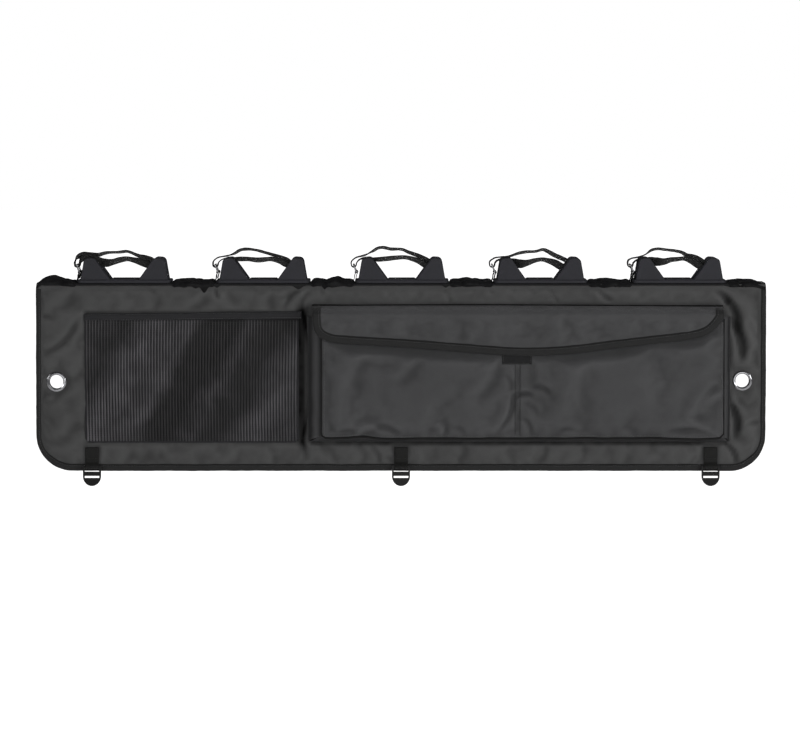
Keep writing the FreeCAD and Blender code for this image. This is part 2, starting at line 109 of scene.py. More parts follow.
# a panel's cloth: side is -1 at the front and 1 at the rear, corner is the lower corners' radius
Panel = namedtuple("Panel", "side bottom half corner")
FRONT = Panel(-1, FRONT_LO[2], FRONT_HI[0], 64.5)
REAR = Panel(1, REAR_LO[2], REAR_HI[0], 28.5)
FRONT_Y = FRONT_LO[1]               # outer face of the front panel
REAR_Y = REAR_HI[1]                 # outer face of the rear panel
DEPTH = abs(FRONT_Y)                # outer face from the middle plane
INNER = abs(box_mm("front_liner")[1][1])    # inner face from the middle plane
SPINE_TOP = SPINE_HI[2]
CLOTH_TOP = 14.0                    # top of the panels' outer cloth
SEAM_Z = FLAP_HI[2]                 # where the flap is sewn on
POCKET_LEFT = box_mm("pocket_gusset_left")[0][0]
POCKET_RIGHT = box_mm("pocket_gusset_right")[1][0]
POCKET_BOTTOM = box_mm("pocket_gusset_bottom")[0][2]
FACE_LEFT, FACE_Y, FACE_BOTTOM = FACE_LO
FACE_RIGHT, FACE_BACK, FACE_TOP = FACE_HI
DIVIDER_X = (DIVIDER_LO[0] + DIVIDER_HI[0]) / 2
HOLE_RADIUS = 15.5                  # hole in the cloth at a grommet

GROMMETS = []                       # x, z, radius
for side_name in ("left", "right"):
    low, high = box_mm("grommet_" + side_name)
    GROMMETS.append(((low[0] + high[0]) / 2, (low[2] + high[2]) / 2, (high[0] - low[0]) / 2))
CRADLES = []                        # centre, left end, right end
for i in range(1, 6):
    low, high = box_mm("cradle_%d" % i)
    CRADLES.append(((low[0] + high[0]) / 2, low[0], high[0]))
CRADLE_ENDS = [end for _, left, right in CRADLES for end in ((left, -1), (right, 1))]
TABS = []                           # centre, left edge, right edge, top
for side_name in SIDES:
    low, high = box_mm("buckle_tab_" + side_name)
    TABS.append(((low[0] + high[0]) / 2, low[0], high[0], high[2]))


# ---------------------------------------------------------------- height fields
def smoothstep(start, end, value):
    t = np.clip((value - start) / (end - start), 0.0, 1.0)
    return t * t * (3 - 2 * t)


def lattice_hash(column, row, seed):
    value = (column * 374761393 + row * 668265263 + seed * 974634777) & 0xFFFFFFFF
    value = ((value ^ (value >> 13)) * 1274126177) & 0xFFFFFFFF
    return value ^ (value >> 16)


def noise(x, y, seed):
    """Gradient noise, about -0.7 to 0.7, the same on every run."""
    x, y = np.broadcast_arrays(np.asarray(x, float), np.asarray(y, float))
    column, row = np.floor(x).astype(np.int64), np.floor(y).astype(np.int64)
    dx, dy = x - column, y - row
    ease_x, ease_y = (d ** 3 * (d * (d * 6 - 15) + 10) for d in (dx, dy))

    def corner(i, j):
        angle = lattice_hash(column + i, row + j, seed) / 4294967296.0 * 2 * math.pi
        return np.cos(angle) * (dx - i) + np.sin(angle) * (dy - j)
    lower = corner(0, 0) * (1 - ease_x) + corner(1, 0) * ease_x
    upper = corner(0, 1) * (1 - ease_x) + corner(1, 1) * ease_x
    return lower * (1 - ease_y) + upper * ease_y


def layered_noise(x, y, octaves, seed):
    total, weight = 0.0, 1.0
    for k in range(octaves):
        total = total + weight * noise(x * 2 ** k + 17.3 * k, y * 2 ** k - 9.1 * k, seed + 31 * k)
        weight *= 0.5
    return total


def ridged(x, y, seed):
    """Thin creases between smooth facets, as a stiff coated cloth buckles. About -1 to 1."""
    coarse = 1 - np.abs(noise(x, y, seed)) * 3.2
    fine = 1 - np.abs(noise(x * 1.9 + 5, y * 1.9 - 3, seed + 1)) * 3.2
    return 0.65 * np.clip(coarse, -1, 1) + 0.35 * np.clip(fine, -1, 1)


def folds(x, z, table):
    """Sum of cloth folds. A row of the table is x and z of the start, x and z of the end, width,
    height, kind. Kind v is a pinched valley with soft banks, r a ridge, s a step."""
    total = np.zeros(np.broadcast(x, z).shape)
    for x0, z0, x1, z1, width, height, kind in table:
        dx, dz = x1 - x0, z1 - z0
        length = math.hypot(dx, dz)
        t = ((x - x0) * dx + (z - z0) * dz) / (length * length)
        bend_side = 1 if (int(abs(x0) * 7) % 2) else -1
        bow = 0.10 * length * np.sin(math.pi * np.clip(t, 0, 1)) * bend_side
        away = (-(x - x0) * dz + (z - z0) * dx) / length + bow
        taper = smoothstep(-0.12, 0.25, t) * (1 - smoothstep(0.72, 1.15, t))
        if kind == "v":
            banks = np.exp(-(away / (2.6 * width)) ** 2)
            shape = 0.75 * banks - 1.45 * np.exp(-(away / width) ** 2)
        elif kind == "r":
            dips = np.exp(-((np.abs(away) - 2.2 * width) / (1.1 * width)) ** 2)
            shape = np.exp(-(away / width) ** 2) - 0.35 * dips
        else:
            shape = -1.6 * (away / (1.4 * width)) * np.exp(-(away / (1.4 * width)) ** 2)
        total = total + height * taper * shape
    return total


def add_humps(base, x, humps):
    """Adds bell-shaped humps (centre, width, height) to base."""
    for centre, width, height in humps:
        base = base + height * np.exp(-((x - centre) / width) ** 2)
    return base


def window(x, z, left, right, bottom, top, soft):
    """1 inside the rectangle, falling to 0 over soft outside it."""
    return (smoothstep(left - soft, left, x) * (1 - smoothstep(right, right + soft, x))
            * smoothstep(bottom - soft, bottom, z) * (1 - smoothstep(top, top + soft, z)))


def blur(height, radius):
    kernel = np.ones(2 * radius + 1) / (2 * radius + 1)
    for axis in (0, 1):
        for _ in range(2):
            pad = [(radius, radius) if k == axis else (0, 0) for k in (0, 1)]
            padded = np.pad(height, pad, mode="edge")
            height = np.apply_along_axis(np.convolve, axis, padded, kernel, mode="valid")
    return height


def crease_shade(height):
    """Painted shade and highlight for a height field: creases get painted shade, ridges a painted
    highlight.
    """
    radius, depth, dark, light = 3, 1.8, 0.30, 0.12
    near = (height - blur(height, radius)) / depth
    wide = (height - blur(height, radius * 4)) / (depth * 3.0)
    level = np.clip(near + 0.25 * wide, -1, 1)
    return np.where(level < 0, dark * level, light * level)


# ---------------------------------------------------------------- points and paths
def points(x, y, z):
    return np.stack(np.broadcast_arrays(x, y, z), axis=-1)


def pair_grid(first, second):
    return np.meshgrid(first, second, indexing="ij")


def unit(vectors):
    return vectors / np.linalg.norm(vectors, axis=-1, keepdims=True)


def tangents(path):
    return unit(np.gradient(path, axis=0))


def run_length(path):
    """Distance along the path at each of its points."""
    return np.concatenate([[0], np.cumsum(np.linalg.norm(np.diff(path, axis=0), axis=1))])


def soften(path):
    out = path.copy()
    out[1:-1] = (path[:-2] + 2 * path[1:-1] + path[2:]) / 4
    return out


def resample(path, step):
    """Even stations along a polyline: their distances and their points."""
    path = np.asarray(path, float)
    run = run_length(path)
    at = np.arange(0, run[-1], step)
    return at, np.stack([np.interp(at, run, column) for column in path.T], axis=1)


def spline(rows, step):
    """Smooth resampling of a table; the first two columns are the place, others follow."""
    rows = np.asarray(rows, float)
    gaps = np.linalg.norm(np.diff(rows[:, :2], axis=0), axis=1)
    run = np.concatenate([[0], np.cumsum(np.maximum(gaps, 1e-6))])
    slope = np.zeros_like(rows)
    for i in range(len(rows)):
        before, after = max(i - 1, 0), min(i + 1, len(rows) - 1)
        slope[i] = (rows[after] - rows[before]) / (run[after] - run[before])
    out = []
    for at in np.linspace(0, run[-1], max(int(run[-1] / step), 4) + 1):
        i = min(np.searchsorted(run, at, side="right") - 1, len(rows) - 2)
        gap = run[i + 1] - run[i]
        t = (at - run[i]) / gap
        out.append((2 * t ** 3 - 3 * t ** 2 + 1) * rows[i]
                   + (t ** 3 - 2 * t ** 2 + t) * gap * slope[i]
                   + (-2 * t ** 3 + 3 * t ** 2) * rows[i + 1] + (t ** 3 - t ** 2) * gap * slope[i + 1])
    return np.array(out)


def straight(start, end, count, height):
    """Line between two (x, z) places; height(x, z) gives its y."""
    t = np.linspace(0, 1, count)
    x, z = (a + (b - a) * t for a, b in zip(start, end))
    return points(x, height(x, z), z)


def box_lines(left, right, bottom, top, count, height):
    corners = [(left, bottom), (right, bottom), (right, top), (left, top), (left, bottom)]
    return [straight(a, b, count, height) for a, b in zip(corners[:-1], corners[1:])]


# ---------------------------------------------------------------- meshes
MATERIALS = {}


def make_mesh(name, data, material, body=None):
    """data is vertices in millimetres, faces and perhaps a shade for each vertex: painted shade that
    darkens (negative) or painted highlight that lightens the cloth's colour."""
    verts, faces, *shade = data
    mesh = bpy.data.meshes.new(name)
    mesh.from_pydata((np.asarray(verts) * MM).tolist(), [], [list(map(int, f)) for f in faces])
    mesh.validate(clean_customdata=False)
    mesh.polygons.foreach_set("use_smooth", np.ones(len(mesh.polygons), bool))
    mesh.materials.append(MATERIALS[material])
    if shade:
        layer = mesh.attributes.new("shade", "FLOAT", "POINT")
        layer.data.foreach_set("value", np.asarray(shade[0], np.float32))
    mesh.update()
    obj = bpy.data.objects.new(name, mesh)
    bpy.context.scene.collection.objects.link(obj)
    if body:
        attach(obj, body)
    return obj


def repaint(node, material):
    mesh = frame["nodes"][node].data
    mesh.materials.clear()
    mesh.materials.append(MATERIALS[material])


def grid_normals(grid):
    normals = np.cross(np.gradient(grid, axis=0), np.gradient(grid, axis=1))
    return normals / np.maximum(np.linalg.norm(normals, axis=2, keepdims=True), 1e-9)


def facing(grid, probe, axis, sign):
    """Normals of the grid, turned so that the one at probe has this sign along the axis."""
    normals = grid_normals(grid)
    return -normals if normals[probe][axis] * sign < 0 else normals


def grid_quads(rows, columns):
    index = np.arange(rows * columns).reshape(rows, columns)
    return np.stack([index[:-1, :-1], index[1:, :-1], index[1:, 1:], index[:-1, 1:]], axis=2)


def shell(grid, thick, keep=None, flip=False, normals=None, shade=None):
    """Closed sheet from a grid of outer points; the inner side lies thick behind it. keep masks
    the faces."""
    if normals is None:
        normals = grid_normals(grid)
    if flip:
        normals = -normals
    count = grid.shape[0] * grid.shape[1]
    quads = grid_quads(*grid.shape[:2])
    outer = quads.reshape(-1, 4) if keep is None else quads[keep]
    if flip:
        outer = outer[:, ::-1]
    edges = set(zip(outer.ravel().tolist(), np.roll(outer, -1, axis=1).ravel().tolist()))
    rim = np.array(sorted((a, b) for a, b in edges if (b, a) not in edges))
    start, end = rim.T
    wall = np.stack([end, start, start + count, end + count], axis=1)
    faces = np.concatenate([outer, outer[:, ::-1] + count, wall])
    verts = np.concatenate([grid.reshape(-1, 3), (grid - normals * thick).reshape(-1, 3)])
    used, faces = np.unique(faces, return_inverse=True)
    data = (verts[used], faces.reshape(-1, 4))
    if shade is None:
        return data
    return data + (np.tile(np.ravel(shade), 2)[used],)


def join(parts):
    verts, faces, offset = [], [], 0
    for part_verts, part_faces in parts:
        verts.append(np.asarray(part_verts, float))
        faces.extend([[i + offset for i in map(int, face)] for face in part_faces])
        offset += len(part_verts)
    return np.concatenate(verts), faces


def sweep(path, outs, normals, profile, closed=False):
    """Sweeps a ring of (out, normal) pairs, one ring for all or one for each station."""
    path = np.asarray(path, float)
    outs, normals = (np.broadcast_to(np.asarray(v, float), path.shape) for v in (outs, normals))
    profile = np.asarray(profile, float)
    verts = (path[:, None, :] + outs[:, None, :] * profile[..., 0:1]
             + normals[:, None, :] * profile[..., 1:2])
    index = np.arange(verts.shape[0] * verts.shape[1]).reshape(verts.shape[:2])
    here = index if closed else index[:-1]
    there = np.roll(index, -1, axis=0) if closed else index[1:]
    faces = np.stack([here, np.roll(here, -1, axis=1), np.roll(there, -1, axis=1), there], axis=2)
    faces = faces.reshape(-1, 4).tolist()
    if not closed:
        faces += [list(index[0][::-1]), list(index[-1])]
    return verts.reshape(-1, 3), faces


def circle_angles(count):
    return np.linspace(0, 2 * math.pi, count, endpoint=False)


def oval(count, half_out, half_normal, turn=0.0):
    angles = circle_angles(count) + turn
    return [(math.cos(a) * half_out, math.sin(a) * half_normal) for a in angles]


def flat_section(width, thick):
    """Ring of (across, normal) pairs round a flat webbing."""
    half, rise, bevel = width / 2, thick / 2, 0.6
    top = [(x, rise) for x in np.linspace(-half + bevel, half - bevel, 7)]
    low = [(x, -rise) for x in np.linspace(half - bevel, -half + bevel, 7)]
    return [(-half, 0)] + top + [(half, 0)] + low


def flat_webbing(path, width, thick):
    """Webbing whose width lies along X."""
    across = np.tile([1.0, 0, 0], (len(path), 1))
    return sweep(path, across, unit(np.cross(tangents(path), across)), flat_section(width, thick))


# stations of one stitch: place along it, size of the thread, height
STITCH_SHAPE = np.array([(-0.5, 0.35, -0.32), (-0.3, 1.0, 0.05), (0.3, 1.0, 0.05), (0.5, 0.35, -0.32)])
STITCH_LIFT = 0.12


def stitch_row(path, normals, pitch, length, radius):
    """Thread stitches along a polyline that lies on a surface with the given normals."""
    path = np.asarray(path, float)
    normals = np.broadcast_to(np.asarray(normals, float), path.shape)
    run = run_length(path)

    def place(at):
        i = min(max(np.searchsorted(run, at, side="right") - 1, 0), len(path) - 2)
        t = (at - run[i]) / max(run[i + 1] - run[i], 1e-9)
        return path[i] * (1 - t) + path[i + 1] * t, normals[i]

    ring = np.array(oval(6, radius, radius * 0.8))
    along, size, height = STITCH_SHAPE.T[:, :, None]
    parts = []
    at = pitch * 0.5
    while at < run[-1] - pitch * 0.3:
        centre, normal = place(at)
        forward = place(min(at + 0.3, run[-1]))[0] - place(max(at - 0.3, 0))[0]
        forward /= max(np.linalg.norm(forward), 1e-9)
        normal = normal / np.linalg.norm(normal)
        aside = np.cross(forward, normal)
        aside /= max(np.linalg.norm(aside), 1e-9)
        spots = centre + forward * along * length + normal * (STITCH_LIFT + height)
        parts.append(sweep(spots, aside, normal, ring * size[:, :, None]))
        at += pitch
    return join(parts)


def stitches(name, lines, normals, body, pitch, length, radius, material="thread"):
    data = join([stitch_row(line, normals, pitch, length, radius) for line in lines])
    return make_mesh(name, data, material, body)


# ---------------------------------------------------------------- cloth simulation
CLOTH_SETTINGS = dict(
    quality=6, mass=0.02, air_damping=1.0,
    tension_stiffness=15, compression_stiffness=15, shear_stiffness=6,
    tension_damping=8, compression_damping=8, shear_damping=6, bending_damping=1.0,
    vertex_group_mass="pin", pin_stiffness=20, use_pressure=True)


def drape(name, grid, pin, grow, pressure, bend, cap, outward, frames=16, every=2):
    """Cloth simulation of an open sheet held where pin is 1. The cloth has a little more length
    than its outline and is pushed from behind, so it buckles as sewn cloth does. Only every
    so-manieth row is simulated, and cap limits the movement. Returns the moved grid."""
    full = grid.shape[:2]
    kept = [np.unique(np.append(np.arange(0, n, every), n - 1)) for n in full]
    coarse = grid[np.ix_(*kept)]
    hold = pin[np.ix_(*kept)].reshape(-1)
    quads = grid_quads(*coarse.shape[:2]).reshape(-1, 4)
    if float(np.sum(grid_normals(coarse).reshape(-1, 3) @ np.asarray(outward, float))) < 0:
        quads = quads[:, ::-1]
    mesh = bpy.data.meshes.new(name + "_sim")
    mesh.from_pydata((coarse.reshape(-1, 3) * MM).tolist(), [], quads.tolist())
    mesh.update()
    obj = bpy.data.objects.new(name + "_sim", mesh)
    scene = bpy.context.scene
    scene.collection.objects.link(obj)
    group = obj.vertex_groups.new(name="pin")
    for level in (1.0, 0.75, 0.5, 0.25):
        chosen = np.nonzero((hold > level - 0.125) & (hold <= level + 0.125))[0]
        if len(chosen):
            group.add(chosen.tolist(), level, "REPLACE")
    modifier = obj.modifiers.new("cloth", "CLOTH")
    settings = modifier.settings
    for key, value in CLOTH_SETTINGS.items():
        setattr(settings, key, value)
    settings.bending_stiffness = bend
    settings.shrink_min = -grow
    settings.shrink_max = -grow
    settings.uniform_pressure_force = pressure
    settings.effector_weights.gravity = 0
    modifier.point_cache.frame_start = 1
    modifier.point_cache.frame_end = frames
    modifier.collision_settings.use_collision = False
    for k in range(1, frames + 1):
        scene.frame_set(k)
    result = obj.evaluated_get(bpy.context.evaluated_depsgraph_get())
    result_mesh = result.to_mesh()
    places = np.empty(len(result_mesh.vertices) * 3)
    result_mesh.vertices.foreach_get("co", places)
    result.to_mesh_clear()
    scene.frame_set(1)
    bpy.data.objects.remove(obj)
    bpy.data.meshes.remove(mesh)
    moved = places.reshape(coarse.shape) / MM - coarse
    if not np.isfinite(moved).all():
        return grid
    size = np.linalg.norm(moved, axis=2, keepdims=True)
    half = 0.5 * cap                # movements beyond half the cap are squeezed towards the cap
    squeezed = (half + half * np.tanh((size - half) / half)) / np.maximum(size, 1e-9)
    moved = moved * np.where(size > half, squeezed, 1.0)
    if every > 1:
        for axis in (0, 1):
            moved = np.apply_along_axis(
                lambda line: np.interp(np.arange(full[axis]), kept[axis], line), axis, moved)
        moved = soften(moved)
        moved = soften(moved.swapaxes(0, 1)).swapaxes(0, 1)
    return grid + moved


# ---------------------------------------------------------------- shader nodes
def linear(level):
    """One 8-bit sRGB channel as a linear value."""
    level = level / 255.0
    return level / 12.92 if level <= 0.04045 else ((level + 0.055) / 1.055) ** 2.4


def rgb(red, green, blue):
    return (linear(red), linear(green), linear(blue), 1.0)


def grey(level):
    return (level, level, level, 1)


def scaled(color, factor, add=0.0):
    return tuple(min(channel * factor + add, 1) for channel in color[:3]) + (1,)


class Nodes:
    """Short calls that add shader nodes to a tree."""

    def __init__(self, tree):
        self.tree = tree

    def feed(self, sockets, values):
        """Links each value that is a socket, and sets the others."""
        for key, value in values.items():
            if isinstance(value, bpy.types.NodeSocket):
                self.tree.links.new(value, sockets[key])
            else:
                sockets[key].default_value = value

    def add(self, kind, inputs=None, **settings):
        node = self.tree.nodes.new("ShaderNode" + kind)
        for key, value in settings.items():
            setattr(node, key, value)
        self.feed(node.inputs, inputs or {})
        return node

    def math(self, operation, *values):
        return self.add("Math", dict(enumerate(values)), operation=operation).outputs[0]

    def split(self, vector):
        return self.add("SeparateXYZ", {0: vector}).outputs

    def noise(self, scale, detail=3.0, rough=0.55, vector=None):
        return self.add("TexNoise", {"Scale": scale, "Detail": detail, "Roughness": rough,
                                     "Vector": vector or self.place}).outputs["Fac"]

    def ramp(self, factor, *stops):
        """stops are (position, colour)."""
        node = self.add("ValToRGB", {"Fac": factor})
        elements = node.color_ramp.elements
        elements[0].position, elements[0].color = stops[0]
        elements[1].position, elements[1].color = stops[-1]
        for position, color in stops[1:-1]:
            elements.new(position).color = color
        return node.outputs["Color"]

    def mix(self, factor, first, second):
        return self.add("Mix", {0: factor, 6: first, 7: second}, data_type="RGBA").outputs[2]

    def bump(self, height, strength, distance, below=None):
        """distance is in metres; below is the normal that this bump lies on."""
        inputs = {"Strength": strength, "Distance": distance, "Height": height}
        if below is not None:
            inputs["Normal"] = below
        return self.add("Bump", inputs).outputs["Normal"]

    def wave(self, value, frequency):
        return self.math("SINE", self.math("MULTIPLY", value, frequency))

    def worn_edges(self, color, base, geometry, start, end, bright, amount):
        """Lightens convex edges; start and end are levels of pointiness."""
        edge = self.ramp(geometry.outputs["Pointiness"], (start, grey(0)), (end, grey(1)))
        return self.mix(self.math("MULTIPLY", edge, amount), color, scaled(base, bright, add=0.01))

    def finish(self, inputs):
        self.feed(self.surface.inputs, inputs)
        return self


def new_material(name):
    """An empty material: nodes.surface is its Principled node, nodes.place its coordinates."""
    material = bpy.data.materials.new(name)
    material.use_nodes = True
    MATERIALS[name] = material
    nodes = Nodes(material.node_tree)
    for node in list(nodes.tree.nodes):
        nodes.tree.nodes.remove(node)
    output = nodes.add("OutputMaterial")
    nodes.surface = nodes.add("BsdfPrincipled")
    nodes.feed(output.inputs, {"Surface": nodes.surface.outputs["BSDF"]})
    nodes.place = nodes.add("TexCoord").outputs["Object"]
    return nodes


# ---------------------------------------------------------------- materials
# pitch is the weave's in millimetres, relief the strength of the bump
def cloth(name, color, pitch=1.1, rough=0.55, specular=0.22, sheen=0.04, relief=0.35, vary=0.16,
          wear=0.12):
    """Plain weave, x against y + z, so that it works on faces turned to -Y, +Y and +Z alike."""
    nodes = new_material(name)
    patches = nodes.noise(scale=7.0, detail=4.0, rough=0.6)
    lint = nodes.noise(scale=260.0, detail=2.0, rough=0.5)
    tone = nodes.ramp(patches, (0.30, scaled(color, 1 - vary)), (0.70, scaled(color, 1 + vary)))
    axes = nodes.split(nodes.place)
    frequency = 2 * math.pi / (pitch * MM)
    rise = nodes.math("ADD", axes["Y"], axes["Z"])
    weave = nodes.math("MULTIPLY", nodes.wave(axes["X"], frequency), nodes.wave(rise, frequency))
    raised = nodes.math("MULTIPLY", nodes.math("ADD", weave, 1.0), 0.5)
    sunk = nodes.math("MULTIPLY", nodes.math("SUBTRACT", 1.0, raised), 0.35)
    tone = nodes.mix(sunk, tone, scaled(color, 0.80))
    tone = nodes.worn_edges(tone, color, nodes.add("NewGeometry"), start=0.50, end=0.56,
                            bright=1.9, amount=wear)
    # the shade attribute paints shade (negative) and highlight (positive) into the colour
    shade = nodes.add("Attribute", attribute_name="shade").outputs["Fac"]
    tone = nodes.add("VectorMath", {0: tone, "Scale": nodes.math("ADD", shade, 1.0)},
                     operation="SCALE").outputs[0]
    # the painted shade also dims the specular in shaded creases and lifts it a little on ridges
    gloss = nodes.math("MINIMUM", nodes.math("ADD", shade, 1.0), 1.1)
    rough_map = nodes.ramp(nodes.noise(scale=38.0),
                           (0.3, grey(rough - 0.07)), (0.7, grey(rough + 0.08)))
    threads = nodes.bump(weave, strength=relief, distance=0.00018)
    return nodes.finish({
        "Specular IOR Level": nodes.math("MULTIPLY", gloss, specular),
        "Base Color": tone,
        "Roughness": rough_map,
        "Sheen Weight": sheen,
        "Sheen Roughness": 0.45,
        "Coat Roughness": 0.35,
        "Normal": nodes.bump(lint, strength=0.12, distance=0.0004, below=threads)})


def ribbed(name, color, pitch, rough=0.6, specular=0.25, sheen=0.2):
    """Woven tape or webbing: slanting ribs with a coarser twill across them."""
    nodes = new_material(name)
    axes = nodes.split(nodes.place)
    rise = nodes.math("ADD", axes["Y"], axes["Z"])
    frequency = 2 * math.pi / (pitch * MM)
    ribs = nodes.wave(nodes.math("ADD", axes["X"], rise), frequency)
    twill = nodes.wave(nodes.math("SUBTRACT", axes["X"], rise), frequency * 0.5)
    weave = nodes.math("ADD", ribs, nodes.math("MULTIPLY", twill, 0.6))
    weave = nodes.math("MULTIPLY", nodes.math("ADD", weave, 1.6), 0.31)     # about 0 to 1
    dark = scaled(color, 0.62)
    tone = nodes.ramp(weave, (0.1, dark), (0.9, scaled(color, 1.25)))
    tone = nodes.mix(nodes.math("MULTIPLY", nodes.noise(scale=30.0), 0.35), tone, dark)
    threads = nodes.bump(weave, strength=0.45, distance=0.0003)
    fuzz = nodes.noise(scale=420.0, detail=2.0)
    return nodes.finish({
        "Base Color": tone,
        "Roughness": rough,
        "Specular IOR Level": specular,
        "Sheen Weight": sheen,
        "Normal": nodes.bump(fuzz, strength=0.15, distance=0.0003, below=threads)})


def pile(name, color):
    """Hook-and-loop pile: matt, fuzzy, with clumps."""
    nodes = new_material(name)
    fuzz = nodes.noise(scale=900.0, detail=4.0, rough=0.75)
    clumps = nodes.noise(scale=90.0, rough=0.6)
    dark = scaled(color, 0.5)
    tone = nodes.ramp(fuzz, (0.35, dark), (0.75, scaled(color, 1.7, add=0.004)))
    return nodes.finish({
        "Base Color": nodes.mix(nodes.math("MULTIPLY", clumps, 0.5), tone, dark),
        "Roughness": 0.9,
        "Specular IOR Level": 0.15,
        "Sheen Weight": 0.08,
        "Sheen Roughness": 0.6,
        "Normal": nodes.bump(fuzz, strength=0.8, distance=0.0009)})


def moulded(name, color, rough, grain, relief, specular, wear, upper=1.0):
    """Plastic or rubber. grain is the noise scale of its surface, upper darkens what faces up as
    painted shade.
    """
    nodes = new_material(name)
    pores = nodes.noise(scale=grain, rough=0.6)
    patches = nodes.noise(scale=22.0, detail=4.0, rough=0.6)
    tone = nodes.ramp(patches, (0.3, scaled(color, 0.86)), (0.7, scaled(color, 1.14)))
    geometry = nodes.add("NewGeometry")
    tone = nodes.worn_edges(tone, color, geometry, start=0.52, end=0.62, bright=1.8, amount=wear)
    if upper < 1.0:                 # painted shade: the faces that look up are darkened, as the front light leaves them dark
        normal = nodes.split(geometry.outputs["True Normal"])
        up_shade_mask = nodes.ramp(normal["Z"], (0.25, grey(0)), (0.75, grey(1)))
        tone = nodes.mix(up_shade_mask, tone, scaled(color, upper))
    return nodes.finish({
        "Base Color": tone,
        "Roughness": nodes.ramp(patches, (0.3, grey(rough - 0.05)), (0.7, grey(rough + 0.08))),
        "Specular IOR Level": specular,
        "Coat Roughness": 0.12,
        "Normal": nodes.bump(pores, strength=relief, distance=0.0004)})


def metal(name, color, rough):
    nodes = new_material(name)
    patches = nodes.noise(scale=120.0, detail=4.0, rough=0.6)
    scratches = nodes.noise(scale=1500.0, rough=0.6)
    return nodes.finish({
        "Base Color": nodes.ramp(patches, (0.3, scaled(color, 0.78)), (0.65, color)),
        "Metallic": 1.0,
        "Roughness": nodes.ramp(scratches, (0.3, grey(rough)), (0.8, grey(rough + 0.12))),
        "Normal": nodes.bump(scratches, strength=0.06, distance=0.0002)})


BAND_START, BAND_SPAN = -520, 460   # place and width of the slanting bands
BANDS = [                           # place, brightness
    (-520, 0.95), (-478, 0.42), (-448, 1.25), (-420, 2.0), (-388, 1.35), (-348, 1.6),
    (-322, 0.36), (-274, 0.34), (-256, 0.70), (-242, 1.1), (-216, 0.48), (-184, 0.34),
    (-158, 0.9), (-120, 1.8), (-84, 1.3), (-60, 0.9)]
SLANT = 0.56                        # the mesh's waves lean this far in x for each z


def streak(nodes, amount):
    """Slanting light and dark bands: the loose net hangs in waves that catch the light."""
    tone = nodes.surface.inputs["Base Color"].links[0].from_socket
    place = nodes.add("TexCoord").outputs["Object"]
    axes = nodes.split(place)
    across = nodes.math("ADD", axes["X"], nodes.math("MULTIPLY", axes["Z"], -SLANT))
    wander = nodes.noise(scale=14.0, rough=0.6, vector=place)
    wander = nodes.math("MULTIPLY", nodes.math("SUBTRACT", wander, 0.5), 0.075)
    across = nodes.math("ADD", across, wander)
    across = nodes.math("ADD", across, -BAND_START * MM)
    bands = nodes.ramp(nodes.math("DIVIDE", across, BAND_SPAN * MM),
                       *[((x - BAND_START) / float(BAND_SPAN), grey(1 + (level - 1) * amount))
                         for x, level in BANDS])
    mottle = nodes.ramp(nodes.noise(scale=30.0, rough=0.6, vector=place),
                        (0.35, grey(0.78)), (0.65, grey(1.2)))
    for factor in (bands, mottle):
        tone = nodes.add("VectorMath", {0: tone, 1: factor}, operation="MULTIPLY").outputs[0]
    nodes.finish({"Base Color": tone})


cloth("panel_cloth", rgb(50, 50, 50))
cloth("pocket_cloth", rgb(49, 49, 50))
cloth("top_cloth", rgb(12, 12, 13), rough=0.5, specular=0.12, sheen=0.0, relief=0.28, vary=0.12,
      wear=0.05)
cloth("lining_cloth", rgb(50, 50, 52), pitch=0.8, rough=0.85, specular=0.10, sheen=0.35,
      relief=0.15)
ribbed("binding_tape", rgb(24, 24, 24), pitch=1.3, specular=0.15, sheen=0.04)
ribbed("hem_tape", rgb(27, 27, 29), pitch=1.3, specular=0.15, sheen=0.04)
ribbed("webbing", rgb(17, 17, 16), pitch=2.0, specular=0.12, sheen=0.03)
streak(moulded("mesh_yarn", rgb(46, 45, 47), rough=0.5, grain=2500.0, relief=0.25, specular=0.25,
               wear=0.0), amount=1.0)
# the scrim's dark colour is painted shade behind the net
streak(cloth("mesh_shade_scrim", rgb(25, 25, 26), pitch=1.8, rough=0.6, specular=0.15, sheen=0.02,
             relief=0.5), amount=0.6)
ribbed("thread", rgb(46, 46, 46), pitch=0.5)
# black tape and thread, also used as painted shadow lines at the flap's seam, the pocket's edge and
# the divider
ribbed("black_seam_and_shadow", rgb(14, 14, 14), pitch=1.1, specular=0.12, sheen=0.02)
pile("hook_loop_pile", rgb(17, 17, 18))
# upper=0.5 paints shade on the cradles' upward faces
moulded("moulded_rubber", rgb(35, 35, 39), rough=0.6, grain=1100.0, relief=0.16, specular=0.15,
        wear=0.08, upper=0.5)
moulded("buckle_plastic", rgb(7, 7, 7), rough=0.32, grain=2200.0, relief=0.04, specular=0.16,
        wear=0.06)
metal("ring_steel", (0.30, 0.30, 0.31, 1), rough=0.3)
metal("grommet_metal", (0.24, 0.24, 0.25, 1), rough=0.18)
ribbed("elastic", rgb(30, 30, 31), pitch=1.0, rough=0.75)


# ---------------------------------------------------------------- panel outlines
def bottom_line(x, panel):
    """Height of the panel's lower edge."""
    radius = panel.corner
    past = np.clip(np.abs(x) - (panel.half - radius), 0, radius)
    return panel.bottom + radius - np.sqrt(np.maximum(radius * radius - past * past, 0))


def columns(half, radius, step):
    middle = np.linspace(-(half - radius), half - radius, int((2 * (half - radius)) / step) + 1)
    angles = np.linspace(0, math.pi / 2, int(radius * 1.25 / step) + 2)[1:]
    side = (half - radius) + radius * np.sin(angles)
    return np.concatenate([-side[::-1], middle, side])


def edge_distance(x, z, panel):
    """Distance to the panel's sides, bottom and rounded corners, positive inside."""
    straight_edge = np.minimum(panel.half - np.abs(x), z - panel.bottom)
    corner_x, corner_z = panel.half - panel.corner, panel.bottom + panel.corner
    in_corner = (np.abs(x) > corner_x) & (z < corner_z)
    corner_edge = panel.corner - np.hypot(np.abs(x) - corner_x, z - corner_z)
    return np.where(in_corner, corner_edge, straight_edge)


